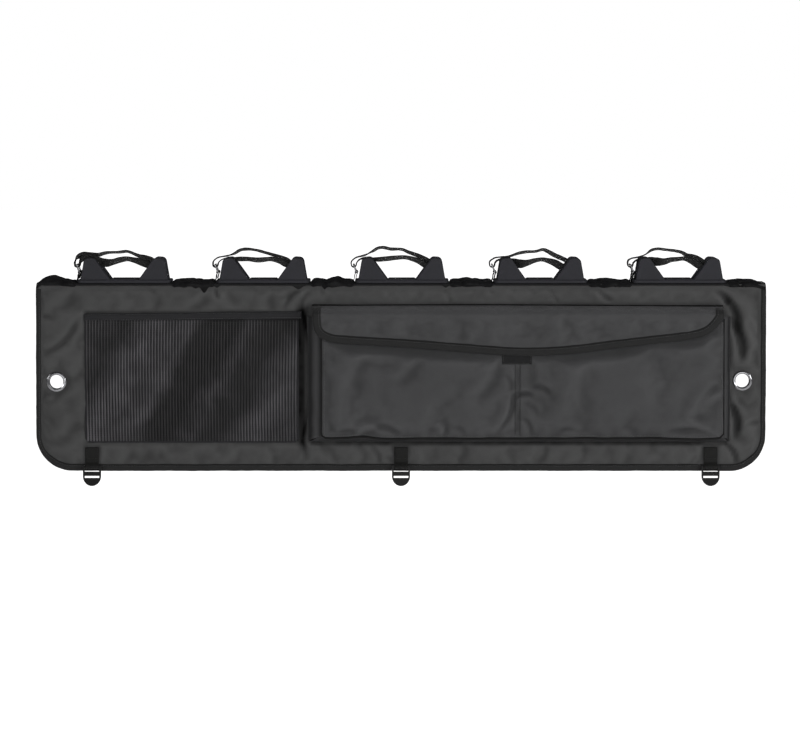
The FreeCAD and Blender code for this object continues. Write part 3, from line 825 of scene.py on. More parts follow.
def panel_grid(panel, step):
    inset = 0.4
    inner = Panel(panel.side, panel.bottom + inset, panel.half - inset, panel.corner - inset)
    xs = columns(inner.half, inner.corner, step)
    x, t = pair_grid(xs, np.linspace(0, 1, int((CLOTH_TOP - inner.bottom) / step) + 1))
    low = bottom_line(xs, inner)[:, None]
    return x, low + (CLOTH_TOP - low) * t


# ---------------------------------------------------------------- front panel cloth
GAP_FOLD_X = -180                   # the deep fold between the pockets starts here
FRONT_FOLDS = [
    # beside the mesh pocket, towards -X
    (-600, 10, -668, -42, 13, 2.6, "s"), (-590, -48, -650, -112, 7, 2.6, "v"),
    (-668, -47, -640, -46, 4, 1.2, "v"), (-622, -178, -648, -205, 6, 1.8, "v"),
    (-600, -225, -634, -275, 12, 1.6, "s"), (-582, -110, -604, -160, 10, 1.6, "s"),
    (-560, -30, -640, -30, 16, 1.0, "r"), (-585, -150, -640, -235, 16, 1.4, "r"),
    # band under the cradles
    (-464, 12, -457, -38, 9, 1.6, "s"), (-463, 14, -449, 0, 5, 1.8, "v"),
    (-339, 10, -333, -12, 5, 3.0, "v"), (-350, 6, -392, -28, 9, 1.8, "s"),
    (-325, 6, -300, -30, 10, 1.6, "s"), (-271, 12, -263, 2, 4, 1.8, "v"),
    (-240, 14, -233, 0, 4, 2.0, "v"), (-243, -2, -241, -38, 9, 1.6, "s"),
    (-183, 6, -214, -30, 7, 3.2, "v"), (-165, 2, -184, -24, 6, 2.4, "v"),
    (-200, 8, -226, -14, 6, 1.8, "v"), (-145, 13, -142, -6, 5, 2.0, "v"),
    (-150, -6, -158, -26, 8, 2.0, "r"), (77, 5, 97, 9, 4, 1.8, "v"), (77, 5, 97, -4, 4, 1.8, "v"),
    (84, -6, 90, -22, 5, 2.0, "v"), (128, 12, 136, 0, 4, 1.8, "v"), (161, 10, 171, -2, 4, 1.8, "v"),
    (203, 13, 210, 0, 4, 1.8, "v"), (231, 12, 246, 0, 4, 1.8, "v"), (262, 13, 278, 0, 4, 2.0, "v"),
    (276, -7, 287, -20, 4, 1.6, "v"), (357, 12, 390, -18, 6, 2.4, "v"),
    (340, 10, 366, -14, 6, 1.6, "r"), (430, 10, 436, -14, 8, 1.0, "s"),
    (-30, 12, -24, -10, 6, 0.8, "s"), (20, 12, 30, -12, 7, 0.8, "s"),
    # beside the bellows pocket, towards +X
    (578, 6, 602, -30, 8, 3.6, "v"), (592, -8, 618, -74, 9, 6.4, "v"),
    (600, -44, 626, -128, 10, 6.2, "v"), (622, -4, 640, -96, 14, 3.6, "r"),
    (602, -200, 614, -268, 9, 6.2, "v"), (596, -276, 618, -322, 6, 3.4, "v"),
    (613, -181, 634, -213, 6, 2.4, "v"), (632, -244, 662, -242, 4, 1.6, "v"),
    (635, -52, 652, -82, 7, 1.8, "v"), (645, -100, 655, -150, 8, 1.4, "s"),
    (628, -230, 640, -300, 12, 2.0, "r"),
    # below the pockets
    (-540, -282, -556, -322, 8, 0.9, "s"), (-500, -280, -520, -322, 10, 0.9, "s"),
    (-470, -282, -486, -322, 9, 0.8, "s"), (-60, -276, -38, -316, 6, 1.8, "v"),
    (-88, -280, -70, -310, 8, 1.2, "s"), (-30, -300, -8, -322, 6, 1.2, "v"),
    (110, -276, 96, -314, 9, 1.2, "s"), (250, -276, 236, -320, 9, 1.2, "s"),
    (268, -280, 256, -316, 7, 1.4, "v"), (330, -278, 316, -320, 10, 1.0, "s"),
    (420, -280, 402, -318, 9, 1.2, "s"), (560, -290, 536, -322, 7, 2.0, "v"),
    (545, -300, 528, -325, 5, 1.4, "v"), (-250, -282, -236, -318, 9, 0.9, "s"),
    (-160, -284, -120, -320, 10, 1.4, "s"), (-300, -284, -318, -320, 9, 0.8, "s"),
    # gap between the pockets
    (GAP_FOLD_X, -36, -181, -272, 6.5, 6.4, "v"), (-182, -268, -176, -312, 7, 2.0, "v")]
DEEP_FOLDS = [fold for fold in FRONT_FOLDS
              if fold[6] == "v" and fold[5] >= 3.0 and fold[0] != GAP_FOLD_X]


def front_relief(x, z):
    """How far the front cloth stands proud of the panel's face."""
    inside = edge_distance(x, z, FRONT)
    rise = (1.6 * smoothstep(8, 60, inside)
            + 1.2 * layered_noise(x / 95, z / 70, 3, 3) * smoothstep(10, 40, inside))
    rise = rise + 1.25 * folds(x, z, FRONT_FOLDS)
    rise = rise + 0.5 * ridged(x / 90 + z / 160, z / 70 - x / 240, 7) * smoothstep(12, 30, inside)
    # the tape gathers the cloth a little at its edge
    gather = noise(x / 13 + z / 11, (x - z) / 40, 5)
    rise = rise + 0.7 * smoothstep(30, 12, inside) * gather
    rise = rise * (1 - 0.8 * smoothstep(-3, 8, z))
    # the cloth rolls over the top corner
    rise = rise - 3.0 * smoothstep(8, 15, z) ** 2
    # it lies flat round the grommets and under what is sewn on
    loose = 1.0
    for hole_x, hole_z, radius in GROMMETS:
        away = np.hypot(x - hole_x, z - hole_z)
        angle = np.arctan2(z - hole_z, x - hole_x)
        rise = rise + 1.3 * np.exp(-((away - 34) / 15) ** 2) * np.cos(angle * 5 + hole_x)
        loose = loose * smoothstep(radius + 1.5, radius + 14, away)
    for _, left, right, top in TABS:
        loose = loose * (1 - 0.9 * window(x, z, left - 1, right + 1, -340, top + 1, 8))
    loose = loose * (1 - 0.92 * window(x, z, MESH_LO[0] - 2, MESH_HI[0] + 2, MESH_LO[2] - 2,
                                       HEM_HI[2] + 1, 7))
    loose = loose * (1 - window(x, z, POCKET_LEFT + 3, POCKET_RIGHT - 3, POCKET_BOTTOM + 2,
                                SEAM_Z - 1, 7))
    rise = rise * loose
    rise = (rise + 0.4) * smoothstep(9.5, 17, inside) - 0.4
    return np.maximum(rise, -7.0)


def cut_grommet_holes(grid):
    """Mask of faces to keep; pulls the rim points of the grid onto circles."""
    keep = np.ones((grid.shape[0] - 1, grid.shape[1] - 1), bool)
    for hole_x, hole_z, _ in GROMMETS:
        away = np.hypot(grid[..., 0] - hole_x, grid[..., 2] - hole_z)
        inside = away < HOLE_RADIUS
        keep &= ~(inside[:-1, :-1] & inside[1:, :-1] & inside[1:, 1:] & inside[:-1, 1:])
        pull = np.where(inside & (away > 1e-6), HOLE_RADIUS / np.maximum(away, 1e-6), 1.0)
        for axis, centre in ((0, hole_x), (2, hole_z)):
            grid[..., axis] = np.where(inside, centre + (grid[..., axis] - centre) * pull,
                                       grid[..., axis])
    return keep


def build_front_cloth():
    x, z = panel_grid(FRONT, step=3.6)
    inside = edge_distance(x, z, FRONT)
    grid = points(x, FRONT_Y - front_relief(x, z), z)
    mesh_area = window(x, z, MESH_LO[0], MESH_HI[0], MESH_LO[2], HEM_HI[2], 2)
    pins = [smoothstep(15, 11, inside), smoothstep(3, 7, z), mesh_area,
            window(x, z, POCKET_LEFT + 3, POCKET_RIGHT - 3, POCKET_BOTTOM + 2, SEAM_Z + 1, 2)]
    for hole_x, hole_z, radius in GROMMETS:
        pins.append(smoothstep(radius + 4.5, radius + 0.5, np.hypot(x - hole_x, z - hole_z)))
    for _, left, right, top in TABS:
        pins.append(window(x, z, left, right, -340, top, 2))
    grid = drape("front_cloth", grid, np.maximum.reduce(pins), grow=0.009, pressure=0.15, bend=2.5,
                 cap=6.0, outward=FORWARD)
    y = np.minimum(grid[..., 1], FRONT_Y + 6.5)
    # the cloth lies low just above the flap's seam, so that the flap can open past it
    over = window(x, z, -170, 600, SEAM_Z - 6, SEAM_Z + 26, 4)
    limit = FRONT_Y - 1.2 - 0.22 * np.clip(z - SEAM_Z, 0, 40) - (1 - over) * 9
    grid[..., 1] = y = np.where(over > 0, np.maximum(y, limit), y)
    # painted shade and highlight from the cloth's height, painted shade in the dark gap between the
    # pockets and in the deep folds, painted shadow under the pocket and behind the mesh
    shade = crease_shade(FRONT_Y - y)
    gap_width = 7.5 + 4.5 * smoothstep(-120, -50, z)
    shade = shade - 0.93 * (np.exp(-(np.abs(x + 181) / gap_width) ** 3)
                            * smoothstep(-305, -262, z) * smoothstep(-14, -40, z))
    deep = np.clip(-folds(x, z, DEEP_FOLDS) / 6.0, 0, 1)
    shade = shade - 0.42 * deep * smoothstep(12, 22, inside)
    shade = shade - 0.4 * window(x, z, POCKET_LEFT + 8, POCKET_RIGHT - 8, POCKET_BOTTOM - 5,
                                 POCKET_BOTTOM + 4, 5)
    shade = np.clip(shade - 0.30 * mesh_area, -0.96, 0.3)
    keep = cut_grommet_holes(grid)
    obj = make_mesh("front_cloth", shell(grid, 1.1, keep, shade=shade), "panel_cloth",
                    "front_panel")
    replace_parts(obj, "front_shell", "front_foam")


build_front_cloth()

# ---------------------------------------------------------------- rear panel cloth
REAR_FOLDS = [
    (-520, 10, -470, -90, 14, 1.8, "s"), (-300, 12, -330, -60, 10, 1.6, "s"),
    (-80, 12, -60, -70, 12, 1.6, "s"), (140, 12, 110, -80, 12, 1.8, "s"),
    (330, 12, 360, -60, 10, 1.6, "s"), (560, 10, 520, -100, 14, 2.0, "s"),
    (-590, -20, -520, -150, 12, 2.4, "v"), (592, -30, 530, -140, 12, 2.4, "v"),
    (-540, -190, -470, -235, 10, 1.6, "s"), (0, -190, -60, -150, 12, 1.4, "s"),
    (540, -190, 480, -150, 12, 1.4, "s"), (-200, -120, -260, -230, 14, 1.4, "s"),
    (260, -110, 220, -230, 14, 1.4, "s"), (-400, -90, -420, -220, 16, 1.2, "r"),
    (420, -120, 400, -230, 16, 1.2, "r")]


def rear_relief(x, z):
    inside = edge_distance(x, z, REAR)
    rise = (1.8 * smoothstep(8, 60, inside)
            + 1.6 * layered_noise(x / 110, z / 80, 3, 41) * smoothstep(10, 40, inside)
            + folds(x, z, REAR_FOLDS))
    gather = noise(x / 13 + z / 11, (x - z) / 40, 15)
    rise = rise + 0.7 * smoothstep(30, 12, inside) * gather
    rise = rise - 6.0 * smoothstep(6, 16, z) ** 2
    for centre, *_ in TABS:
        rise = rise * (1 - 0.95 * window(x, z, centre - 14, centre + 14, -260, -200, 8))
    return (rise + 0.4) * smoothstep(9.5, 17, inside) - 0.4


def build_rear_cloth():
    x, z = panel_grid(REAR, step=4.2)
    grid = points(x, REAR_Y + rear_relief(x, z), z)
    pins = [smoothstep(15, 11, edge_distance(x, z, REAR)), smoothstep(3, 7, z)]
    for centre, *_ in TABS:
        pins.append(window(x, z, centre - 13, centre + 13, -260, -204, 2))
    grid = drape("rear_cloth", grid, np.maximum.reduce(pins), grow=0.014, pressure=0.14, bend=2.5,
                 cap=9.0, outward=(0, 1, 0), every=3)
    grid[..., 1] = np.maximum(grid[..., 1], REAR_Y - 6.5)
    data = shell(grid, 1.1, flip=True, shade=crease_shade(grid[..., 1] - REAR_Y))
    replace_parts(make_mesh("rear_cloth", data, "panel_cloth", "rear_panel"),
                "rear_shell", "rear_foam")


build_rear_cloth()

# ---------------------------------------------------------------- black cover over the spine
COVER_HUMPS = [                     # x, width, height of swellings along the top
    (-642, 20, 7.5), (-612, 12, 1.5), (-386, 22, 2.6), (-352, 12, 0.8), (-372, 5, -1.0),
    (-118, 15, 6.0), (-150, 9, 2.5), (-136, 5, -1.2), (122, 20, 2.6), (145, 8, 1.5),
    (385, 26, 1.2), (368, 6, 1.0), (638, 18, 0.4), (668, 12, -6.5), (-668, 5, -5.0)]
BORDER_DIPS = [                     # x, width, height of dips in the front's lower edge
    (-360, 7, -14), (-376, 6, -5), (-337, 5, -5), (-402, 12, -4), (-188, 9, -8), (-140, 4, -7),
    (-122, 14, -4), (82, 5, -5), (120, 16, -3), (372, 20, -4), (600, 8, -3), (640, 20, -2)]
COVER_Y = DEPTH + 1.2               # outer face of the cover's drops, from the middle plane
FREE_EDGE_Y = 38.9                  # how far the cover reaches back at the spine's free corners
FREE_EDGE_RADIUS = 6.0


def gap_profile(x):
    """0 under a cradle and 1 in the open."""
    opening = np.ones_like(x)
    for centre, _, right in CRADLES:
        reach = right - centre
        opening = opening * (1 - smoothstep(reach + 5.4, reach + 0.6, np.abs(x - centre)))
    return opening


def cover_height(x):
    """How high the padded cover swells between the cradles."""
    return add_humps(3.4 + 0.6 * noise(x / 9, 4.4, 57), x, COVER_HUMPS) * gap_profile(x)


def ring_area(x, y, cradle_x):
    """Area round the webbing that holds a ring."""
    return window(x, y, cradle_x - 113, cradle_x - 85, -18.5, 18.5, 4.5)


def cover_shape(y, x):
    """Share of the swelling at this depth; none round the rings' webbing."""
    share = 1.0 - 0.22 * (y / 42.0) ** 2
    for centre, *_ in CRADLES:
        share = share * (1 - float(ring_area(x, y, centre)))
    return share


def front_border(x):
    """Lower edge of the cover on the front."""
    z = 13.0 + 0.8 * noise(x / 22, 0.3, 8)
    z = z - gap_profile(x) * (0.8 + 2.2 * noise(x / 15, 2.7, 9))
    return add_humps(z, x, BORDER_DIPS)


def free_back_edge(x, swell):
    """Start of a front section: at the spine's ends, past the rear panel, it wraps down."""
    free = float(smoothstep(REAR.half + 1.5, REAR.half + 4.5, abs(x)))
    inner_y = FREE_EDGE_Y - FREE_EDGE_RADIUS
    top = SPINE_TOP + swell * cover_shape(inner_y, x)
    corner = [(-FREE_EDGE_Y, 0.6 + (top - FREE_EDGE_RADIUS - 0.6) * t)
              for t in np.linspace(0, 1, 4)[:-1]]
    for t in np.linspace(0, 1, 6):
        angle = (1 - t) * math.pi / 2
        corner.append((-(inner_y + FREE_EDGE_RADIUS * math.sin(angle)),
                       top - FREE_EDGE_RADIUS + FREE_EDGE_RADIUS * math.cos(angle)))
    line = []
    for k, (corner_y, corner_z) in enumerate(corner):
        y = -31.0 + 3.0 * k / len(corner)
        z = SPINE_TOP + swell * cover_shape(y, x)
        line.append((y + (corner_y - y) * free, z + (corner_z - z) * free))
    return line


def cover_section(side, x, border, swell, radius):
    """Section of the cover at x as (y, z); y is positive towards the panel on this side."""
    inner_y = COVER_Y - radius
    if side < 0:
        line = free_back_edge(x, swell)
        for y in np.linspace(line[-1][0], inner_y, 27)[1:]:
            line.append((y, SPINE_TOP + swell * cover_shape(y, x)))
    else:
        line = [(y, SPINE_TOP + 0.55 + swell * cover_shape(y, x))
                for y in np.linspace(24.0, inner_y, 7)]
    top = line[-1][1]
    for t in np.linspace(0, 1, 9)[1:]:
        angle = t * math.pi / 2
        line.append((inner_y + radius * math.sin(angle),
                     (top - radius) + radius * math.cos(angle)))
    low = line[-1][1]
    for t in np.linspace(0, 1, 5)[1:]:
        line.append((COVER_Y, low + (min(border, low - 1) - low) * t))
    return line


def cover_stations(side):
    """Stations along x and the height of the lower edge at each."""
    if side > 0:
        half = REAR.half
        xs = np.concatenate([[-half + 0.2], np.arange(-half + 3, half - 1.5, 3.0), [half - 0.2]])
        return xs, 7.0 + 1.5 * noise(xs / 30, 1.1, 12) - 3 * gap_profile(xs)
    half = FRONT.half
    ends = [end + way * gap for end, way in CRADLE_ENDS for gap in (0.6, 1.9, 3.3)]
    even = [x for x in np.arange(-half + 3, half - 1.5, 2.6)
            if min(abs(x - end) for end in ends) > 0.8]
    xs = np.array(sorted([-half + 0.3, half - 0.3] + ends + even))
    return xs, front_border(xs)


def cover(name, side, seed):
    """Side -1: the whole top and the front drop. Side 1: the rear drop, lapped over the first."""
    xs, border = cover_stations(side)
    radius = 2.6 + 6.4 * gap_profile(xs) if side < 0 else np.full(len(xs), 9.0)
    sections = np.array([cover_section(side, *row)
                         for row in zip(xs, border, cover_height(xs), radius)])
    x = np.repeat(xs[:, None], sections.shape[1], axis=1)
    y, z = sections[..., 0], sections[..., 1]
    if side < 0:                    # the drop lies on the panel's cloth
        y[:, -4:] = np.maximum(y[:, -4:], DEPTH + front_relief(x[:, -4:], z[:, -4:]) + 1.0)
    gap = gap_profile(x)
    steps = np.hypot(np.diff(y, axis=1), np.diff(z, axis=1))
    run = np.cumsum(np.concatenate([np.zeros((len(xs), 1)), steps], axis=1), axis=1)
    wrinkle = (1.3 * noise(x / 19 + run / 60, run / 34, seed)
               + 0.35 * noise(x / 9, run / 22, seed + 1)) * gap
    wrinkle = wrinkle + 1.0 * noise(x / 26 + run / 19, run / 19 - x / 60, seed + 2) * gap
    # creases that run from the cradles' ends towards the edge
    fade = smoothstep(5, 35, y)
    for end, way in CRADLE_ENDS:
        away = (x - end) * way
        for height, offset, lean, width in ((1.2, 6, 0.10, 4.0), (-1.4, 14, 0.22, 4.5),
                                            (0.9, 23, 0.30, 5.0)):
            crease = np.exp(-((away - offset - lean * y) / width) ** 2)
            wrinkle = wrinkle + height * crease * fade * gap
    wrinkle = wrinkle * smoothstep(FRONT.half - 1, FRONT.half - 14, np.abs(x))
    if side > 0:
        wrinkle = wrinkle * smoothstep(24, 34, y)
    low_spot = np.zeros_like(x)
    for centre, *_ in CRADLES:
        low_spot = np.maximum(low_spot, ring_area(x, y, centre) * (z < SPINE_TOP + 12))
    wrinkle = wrinkle * (1 - low_spot)
    grid = points(x, y * side, z)
    probe = (len(xs) // 2, x.shape[1] // 2 if side < 0 else 3)
    hang = np.ones(x.shape[1])
    hang[-5:] = [0.8, 0.6, 0.45, 0.3, 0.2]
    grid = grid + facing(grid, probe, 2, 1) * (wrinkle * hang[None, :])[..., None]
    held_rows = np.zeros(x.shape)
    held_rows[:, -3:] = 1.0
    held_rows[:, :2] = 1.0
    pin = np.maximum.reduce([smoothstep(0.75, 0.35, gap), held_rows, low_spot,
                             smoothstep(FRONT.half - 14, FRONT.half - 4, np.abs(x))])
    grid = drape(name, grid, pin, grow=0.03, pressure=0.35, bend=1.0, cap=6.0,
                 outward=(0, side * 0.2, 1), every=1, frames=12)
    grid[..., 2] = np.where(gap < 0.3, np.minimum(grid[..., 2], SPINE_TOP - 0.05), grid[..., 2])
    grid[:, -7:, 1] = side * np.maximum(side * grid[:, -7:, 1], y[:, -7:] - 0.1)
    data = shell(grid, 1.2 if side < 0 else 0.9, normals=facing(grid, probe, 2, 1),
                 shade=crease_shade(grid[..., 2]) * gap)
    return make_mesh(name, data, "top_cloth")


cover_front = cover("spine_cover_front", -1, 50)
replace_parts(cover_front, "spine_shell", "spine_foam")
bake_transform(cover_front)
cover_rear = cover("spine_cover_rear", 1, 70)
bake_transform(cover_rear)

# ---------------------------------------------------------------- lining
# section of the lining's top as (y towards the panel, z)
LINING_TOP = [(0, 0.1), (8, 0.1), (16, 0.1), (24, 0.1), (30, 0.2), (34, 0.3), (36.6, 0.0),
              (37.4, -1.6), (37.9, -4.0)]
LINING_INSET = 12.5                 # from the panel's lower edge


def lining(name, panel):
    side, bottom, half, _ = panel
    xs = np.linspace(-half + 13.5, half - 13.5, 150)
    drop = [(INNER, z) for z in np.linspace(-9, bottom + LINING_INSET, 44)]
    section = np.array(LINING_TOP + drop)
    x, y = pair_grid(xs, section[:, 0])
    z = np.repeat(section[None, :, 1], len(xs), axis=0)
    soft = (smoothstep(-12, -40, z) * smoothstep(half - 14, half - 40, np.abs(x))
            * smoothstep(bottom + 12, bottom + 40, z))
    y = y - soft * (0.9 + 1.3 * layered_noise(x / 120, z / 90, 3, 61 + side))
    # quilted channels keep the foam in place
    for k in range(-4, 5):
        y = y + soft * 0.9 * np.exp(-((x - k * half / 4.8) / 3.0) ** 2)
    grid = points(x, y * side, np.maximum(z, bottom_line(x, panel) + LINING_INSET))
    keep = cut_grommet_holes(grid) if side < 0 else None
    normals = facing(grid, (len(xs) // 2, 30), 1, -side)
    return make_mesh(name, shell(grid, 0.9, keep, normals=normals), "lining_cloth")


lining_front = lining("lining_front", FRONT)
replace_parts(lining_front, "front_liner", "spine_liner")
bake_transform(lining_front)
lining_rear = lining("lining_rear", REAR)
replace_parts(lining_rear, "rear_liner")
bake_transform(lining_rear)


def build_spine_end_lining():
    parts = []
    for sign in (-1, 1):
        x, y = pair_grid(np.linspace(REAR.half - 14.5, FRONT.half - 2.0, 24) * sign,
                         np.linspace(-1.0, SPINE_HI[1] - 0.3, 12))
        grid = points(x, y, 0.25 - 0.35 * noise(x / 18, y / 14, 66))
        parts.append(shell(grid, 0.8, normals=np.broadcast_to([0, 0, -1.0], grid.shape)))
    make_mesh("lining_spine_ends", join(parts), "lining_cloth", "spine")


build_spine_end_lining()


# ---------------------------------------------------------------- edge tape
def spine_end_stations(edge_x):
    """Tape stations from the spine's free rear corner forward over its end and the fold."""
    half_thick = SPINE_TOP / 2 - 0.4
    middle_z = SPINE_TOP / 2
    back, corner = SPINE_HI[1] - 0.9, 5
    rows = [(-x, -back, middle_z, 0, -1, 0, 0, 0, 1, half_thick)
            for x in np.linspace(REAR.half + 4.5, edge_x - 6, 9)]
    for angle in np.linspace(0, math.pi / 2, 6)[1:]:
        sine, cosine = math.sin(angle), math.cos(angle)
        rows.append((-(edge_x - corner) - corner * sine, -(back - corner) - corner * cosine,
                     middle_z, -sine, -cosine, 0, 0, 0, 1, half_thick))
    fold_y = 28
    for y in np.linspace(-(back - corner), fold_y, 12)[1:]:
        rows.append((-edge_x, y, middle_z, -1, 0, 0, 0, 0, 1, half_thick))
    for t in np.linspace(0.12, 1.0, 9):
        sine, cosine = math.sin(t * math.pi / 2), math.cos(t * math.pi / 2)
        outer = np.array([fold_y + 21.1 * sine ** 0.75, -5.0 + 21.7 * cosine ** 0.75])
        inner = np.array([fold_y + 9.2 * sine ** 1.2, -6.5 + 6.2 * cosine ** 1.2])
        middle, across = (outer + inner) / 2, outer - inner
        length = float(np.hypot(*across))
        rows.append((-edge_x, *middle, -1, 0, 0, 0, *(across / length), length / 2 - 0.95))
    return rows


def edge_tape(name, panel, half, seed):
    """U-shaped tape round a pad's edge. The front one begins and ends at the spine's free rear
    corners, the rear one goes round the rear panel only. Returns the object, its stations,
    out directions, normals and half thicknesses."""
    edge_x = half - 1.6
    middle_y, half_thick = (DEPTH + INNER) / 2, (DEPTH - INNER) / 2
    radius = panel.corner + 0.4
    centre_z = panel.bottom - 0.6 + radius
    # columns: point, out direction, normal, half thickness; y towards the panel's side
    rows = spine_end_stations(edge_x) if panel.side < 0 else []
    for z in np.arange(-12.0 if panel.side < 0 else 11.0, centre_z, -5.0):
        rows.append((-edge_x, middle_y, z, -1, 0, 0, 0, 1, 0, half_thick))
    for angle in np.linspace(0, math.pi / 2, max(int(panel.corner / 3), 9)):
        sine, cosine = math.sin(angle), math.cos(angle)
        rows.append((-edge_x + radius - radius * cosine, middle_y, centre_z - radius * sine,
                     -cosine, 0, -sine, 0, 1, 0, half_thick))
    mirrored = np.array(rows)[::-1] * [-1, 1, 1, -1, 1, 1, 1, 1, 1, 1]
    for x in np.arange(-edge_x + radius + 5, edge_x - radius, 5.0):
        rows.append((x, middle_y, centre_z - radius, 0, 0, -1, 0, 1, 0, half_thick))
    stations = np.concatenate([np.array(rows), mirrored])
    stations[:, [1, 4, 7]] *= panel.side
    path, outs, normals, halves = (stations[:, 0:3], stations[:, 3:6], stations[:, 6:9],
                                   stations[:, 9])
    run = run_length(path)
    wobble = 0.7 * noise(run / 16, 0.2, seed) + 0.5 * noise(run / 6, 1.4, seed + 1)
    width = 11.5 + 1.0 * noise(run / 28, 3.1, seed + 2)
    width = width - 3.4 * smoothstep(0.6, 0.95, np.abs(outs[:, 0]))
    drift = 1.5 * noise(run / 70, 7.7, seed + 3) * smoothstep(-5, -60, path[:, 2])
    path = path + outs * (drift * 0.6)[:, None]
    profile = []
    for thick, sway, inner in zip(halves, wobble, width):
        out = 1.1 + 0.5 * sway
        face = thick + 0.95 + 0.4 * sway
        profile.append([
            (-inner, thick - 0.1), (-inner - 0.1, thick + 0.75 + 0.2 * sway),
            (-inner * 0.6, face + 0.15), (-inner * 0.25, face + 0.1), (out - 1.3, face - 0.1),
            (out - 0.3, thick * 0.72 + 0.5), (out, thick * 0.35), (out, -thick * 0.35),
            (out - 0.3, -thick * 0.72 - 0.5), (out - 1.3, -face + 0.1),
            (-inner * 0.25, -face - 0.1), (-inner * 0.6, -face - 0.15),
            (-inner - 0.1, -thick - 0.75), (-inner, -thick + 0.1), (-0.4, -thick + 0.2),
            (-0.2, 0), (-0.4, thick - 0.2)])
    obj = make_mesh(name, sweep(path, outs, normals, profile), "binding_tape")
    return obj, path, outs, normals, halves


front_tape = edge_tape("front_edge_tape", FRONT, abs(box_mm("front_binding")[0][0]), 90)
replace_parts(front_tape[0], "front_binding")
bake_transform(front_tape[0])
rear_tape = edge_tape("rear_edge_tape", REAR, box_mm("rear_binding")[1][0], 95)
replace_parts(rear_tape[0], "rear_binding")
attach(rear_tape[0], "rear_panel")
for name, (_, path, outs, normals, halves) in (("front", front_tape), ("rear", rear_tape)):
    inset = 8.6 - 3.2 * smoothstep(0.6, 0.95, np.abs(outs[:, 0:1]))
    below = path[:, 2] < -14
    line = (path - outs * inset + normals * (halves[:, None] + 1.05))[below]
    stitches(name + "_tape_stitches", [line], normals[below], name + "_panel",
             pitch=4.4, length=3.0, radius=0.34)


# ---------------------------------------------------------------- mesh pocket
def mesh_bulge(x, z):
    """The mesh hangs loose in diagonal waves."""
    left, right, bottom, top = MESH_LO[0], MESH_HI[0], MESH_LO[2], HEM_LO[2]
    across = smoothstep(left, left + 26, x) * (1 - smoothstep(right - 26, right, x))
    upward = (smoothstep(bottom, bottom + 22, z)
              * (0.55 + 0.45 * (1 - smoothstep(top - 30, top, z))))
    slant = x - SLANT * z
    waves = (2.0 * np.cos((slant + 420) / 23.5 + 0.5 * np.sin(z / 60.0))
             + 1.3 * np.sin(slant / 47.0 + 1.3) + 1.2 * layered_noise(x / 60, z / 80, 2, 77))
    return 1.5 + (3.4 + waves) * across * upward


def build_shade_scrim():
    """Open cloth behind the net, a back layer of the mesh; its dark colour is painted shade for the
    space behind the net.
    """
    x, z = pair_grid(np.linspace(MESH_LO[0] + 1, MESH_HI[0] - 1, 90),
                     np.linspace(MESH_LO[2] + 1, HEM_LO[2] + 3, 50))
    grid = points(x, FRONT_Y - 0.5 - 0.80 * mesh_bulge(x, z), z)
    make_mesh("mesh_shade_scrim", shell(grid, 0.35), "mesh_shade_scrim", "front_panel")


def build_net():
    rib_pitch, cross_pitch = 5.45, 4.2
    left, right = MESH_LO[0] + 2.0, MESH_HI[0] - 2.0
    zs = np.arange(MESH_LO[2] + 1.0, HEM_LO[2] + 4.0, cross_pitch)
    count = int((right - left) / rib_pitch)
    rib_section = oval(6, 1.55, 0.62, turn=0.5)
    ribs, parts = [], []
    for k in range(count + 1):
        wander = noise(zs / 31 + k * 0.05, np.full_like(zs, k * 0.9), 81)
        x = left + (right - left) * k / count + 0.55 * wander + 1.1 * np.sin(zs / 70 + k * 0.02)
        ribs.append(points(x, FRONT_Y - 0.9 - mesh_bulge(x, zs), zs))
        parts.append(sweep(ribs[-1], (1, 0, 0), FORWARD, rib_section))
    ribs = np.array(ribs)
    yarn_section = [(0.34, 0), (0, 0.3), (-0.34, 0), (0, -0.3)]
    for j in range(1, ribs.shape[1] - 1):
        yarn = ribs[:, j].copy()
        yarn[:, 2] += np.where(np.arange(len(yarn)) % 2, 1.0, -1.0)
        yarn[:, 1] += 0.55
        parts.append(sweep(yarn, (0, 0, 1), FORWARD, yarn_section))
    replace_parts(make_mesh("mesh_net", join(parts), "mesh_yarn", "front_panel"), "mesh_panel")


def build_mesh_border():
    """Sewn border down the sides and along the bottom of the mesh."""
    left, right, bottom, top = MESH_LO[0], MESH_HI[0], MESH_LO[2], HEM_LO[2] + 2
    corners = [(left - 0.5, top), (left - 0.5, bottom + 6), (left + 5, bottom + 0.5),
               (right - 5, bottom + 0.5), (right + 0.5, bottom + 6), (right + 0.5, top)]
    dense = []
    for (xa, za), (xb, zb) in zip(corners[:-1], corners[1:]):
        count = max(int(math.hypot(xb - xa, zb - za) / 6), 2)
        for k in range(count):
            dense.append((xa + (xb - xa) * k / count, za + (zb - za) * k / count))
    dense.append(corners[-1])
    dense = np.array(dense)
    x, z = dense.T
    ahead = tangents(dense)
    path = points(x + 0.5 * noise(z / 14, x / 14, 83), FRONT_Y - 0.5, z)
    section = [(2.3, -0.2), (2.4, 0.8), (1.4, 1.5), (-1.4, 1.6), (-2.4, 0.9), (-2.3, -0.2)]
    data = sweep(path, points(ahead[:, 1], 0.0, -ahead[:, 0]), FORWARD, section)
    make_mesh("mesh_border", data, "hem_tape", "front_panel")


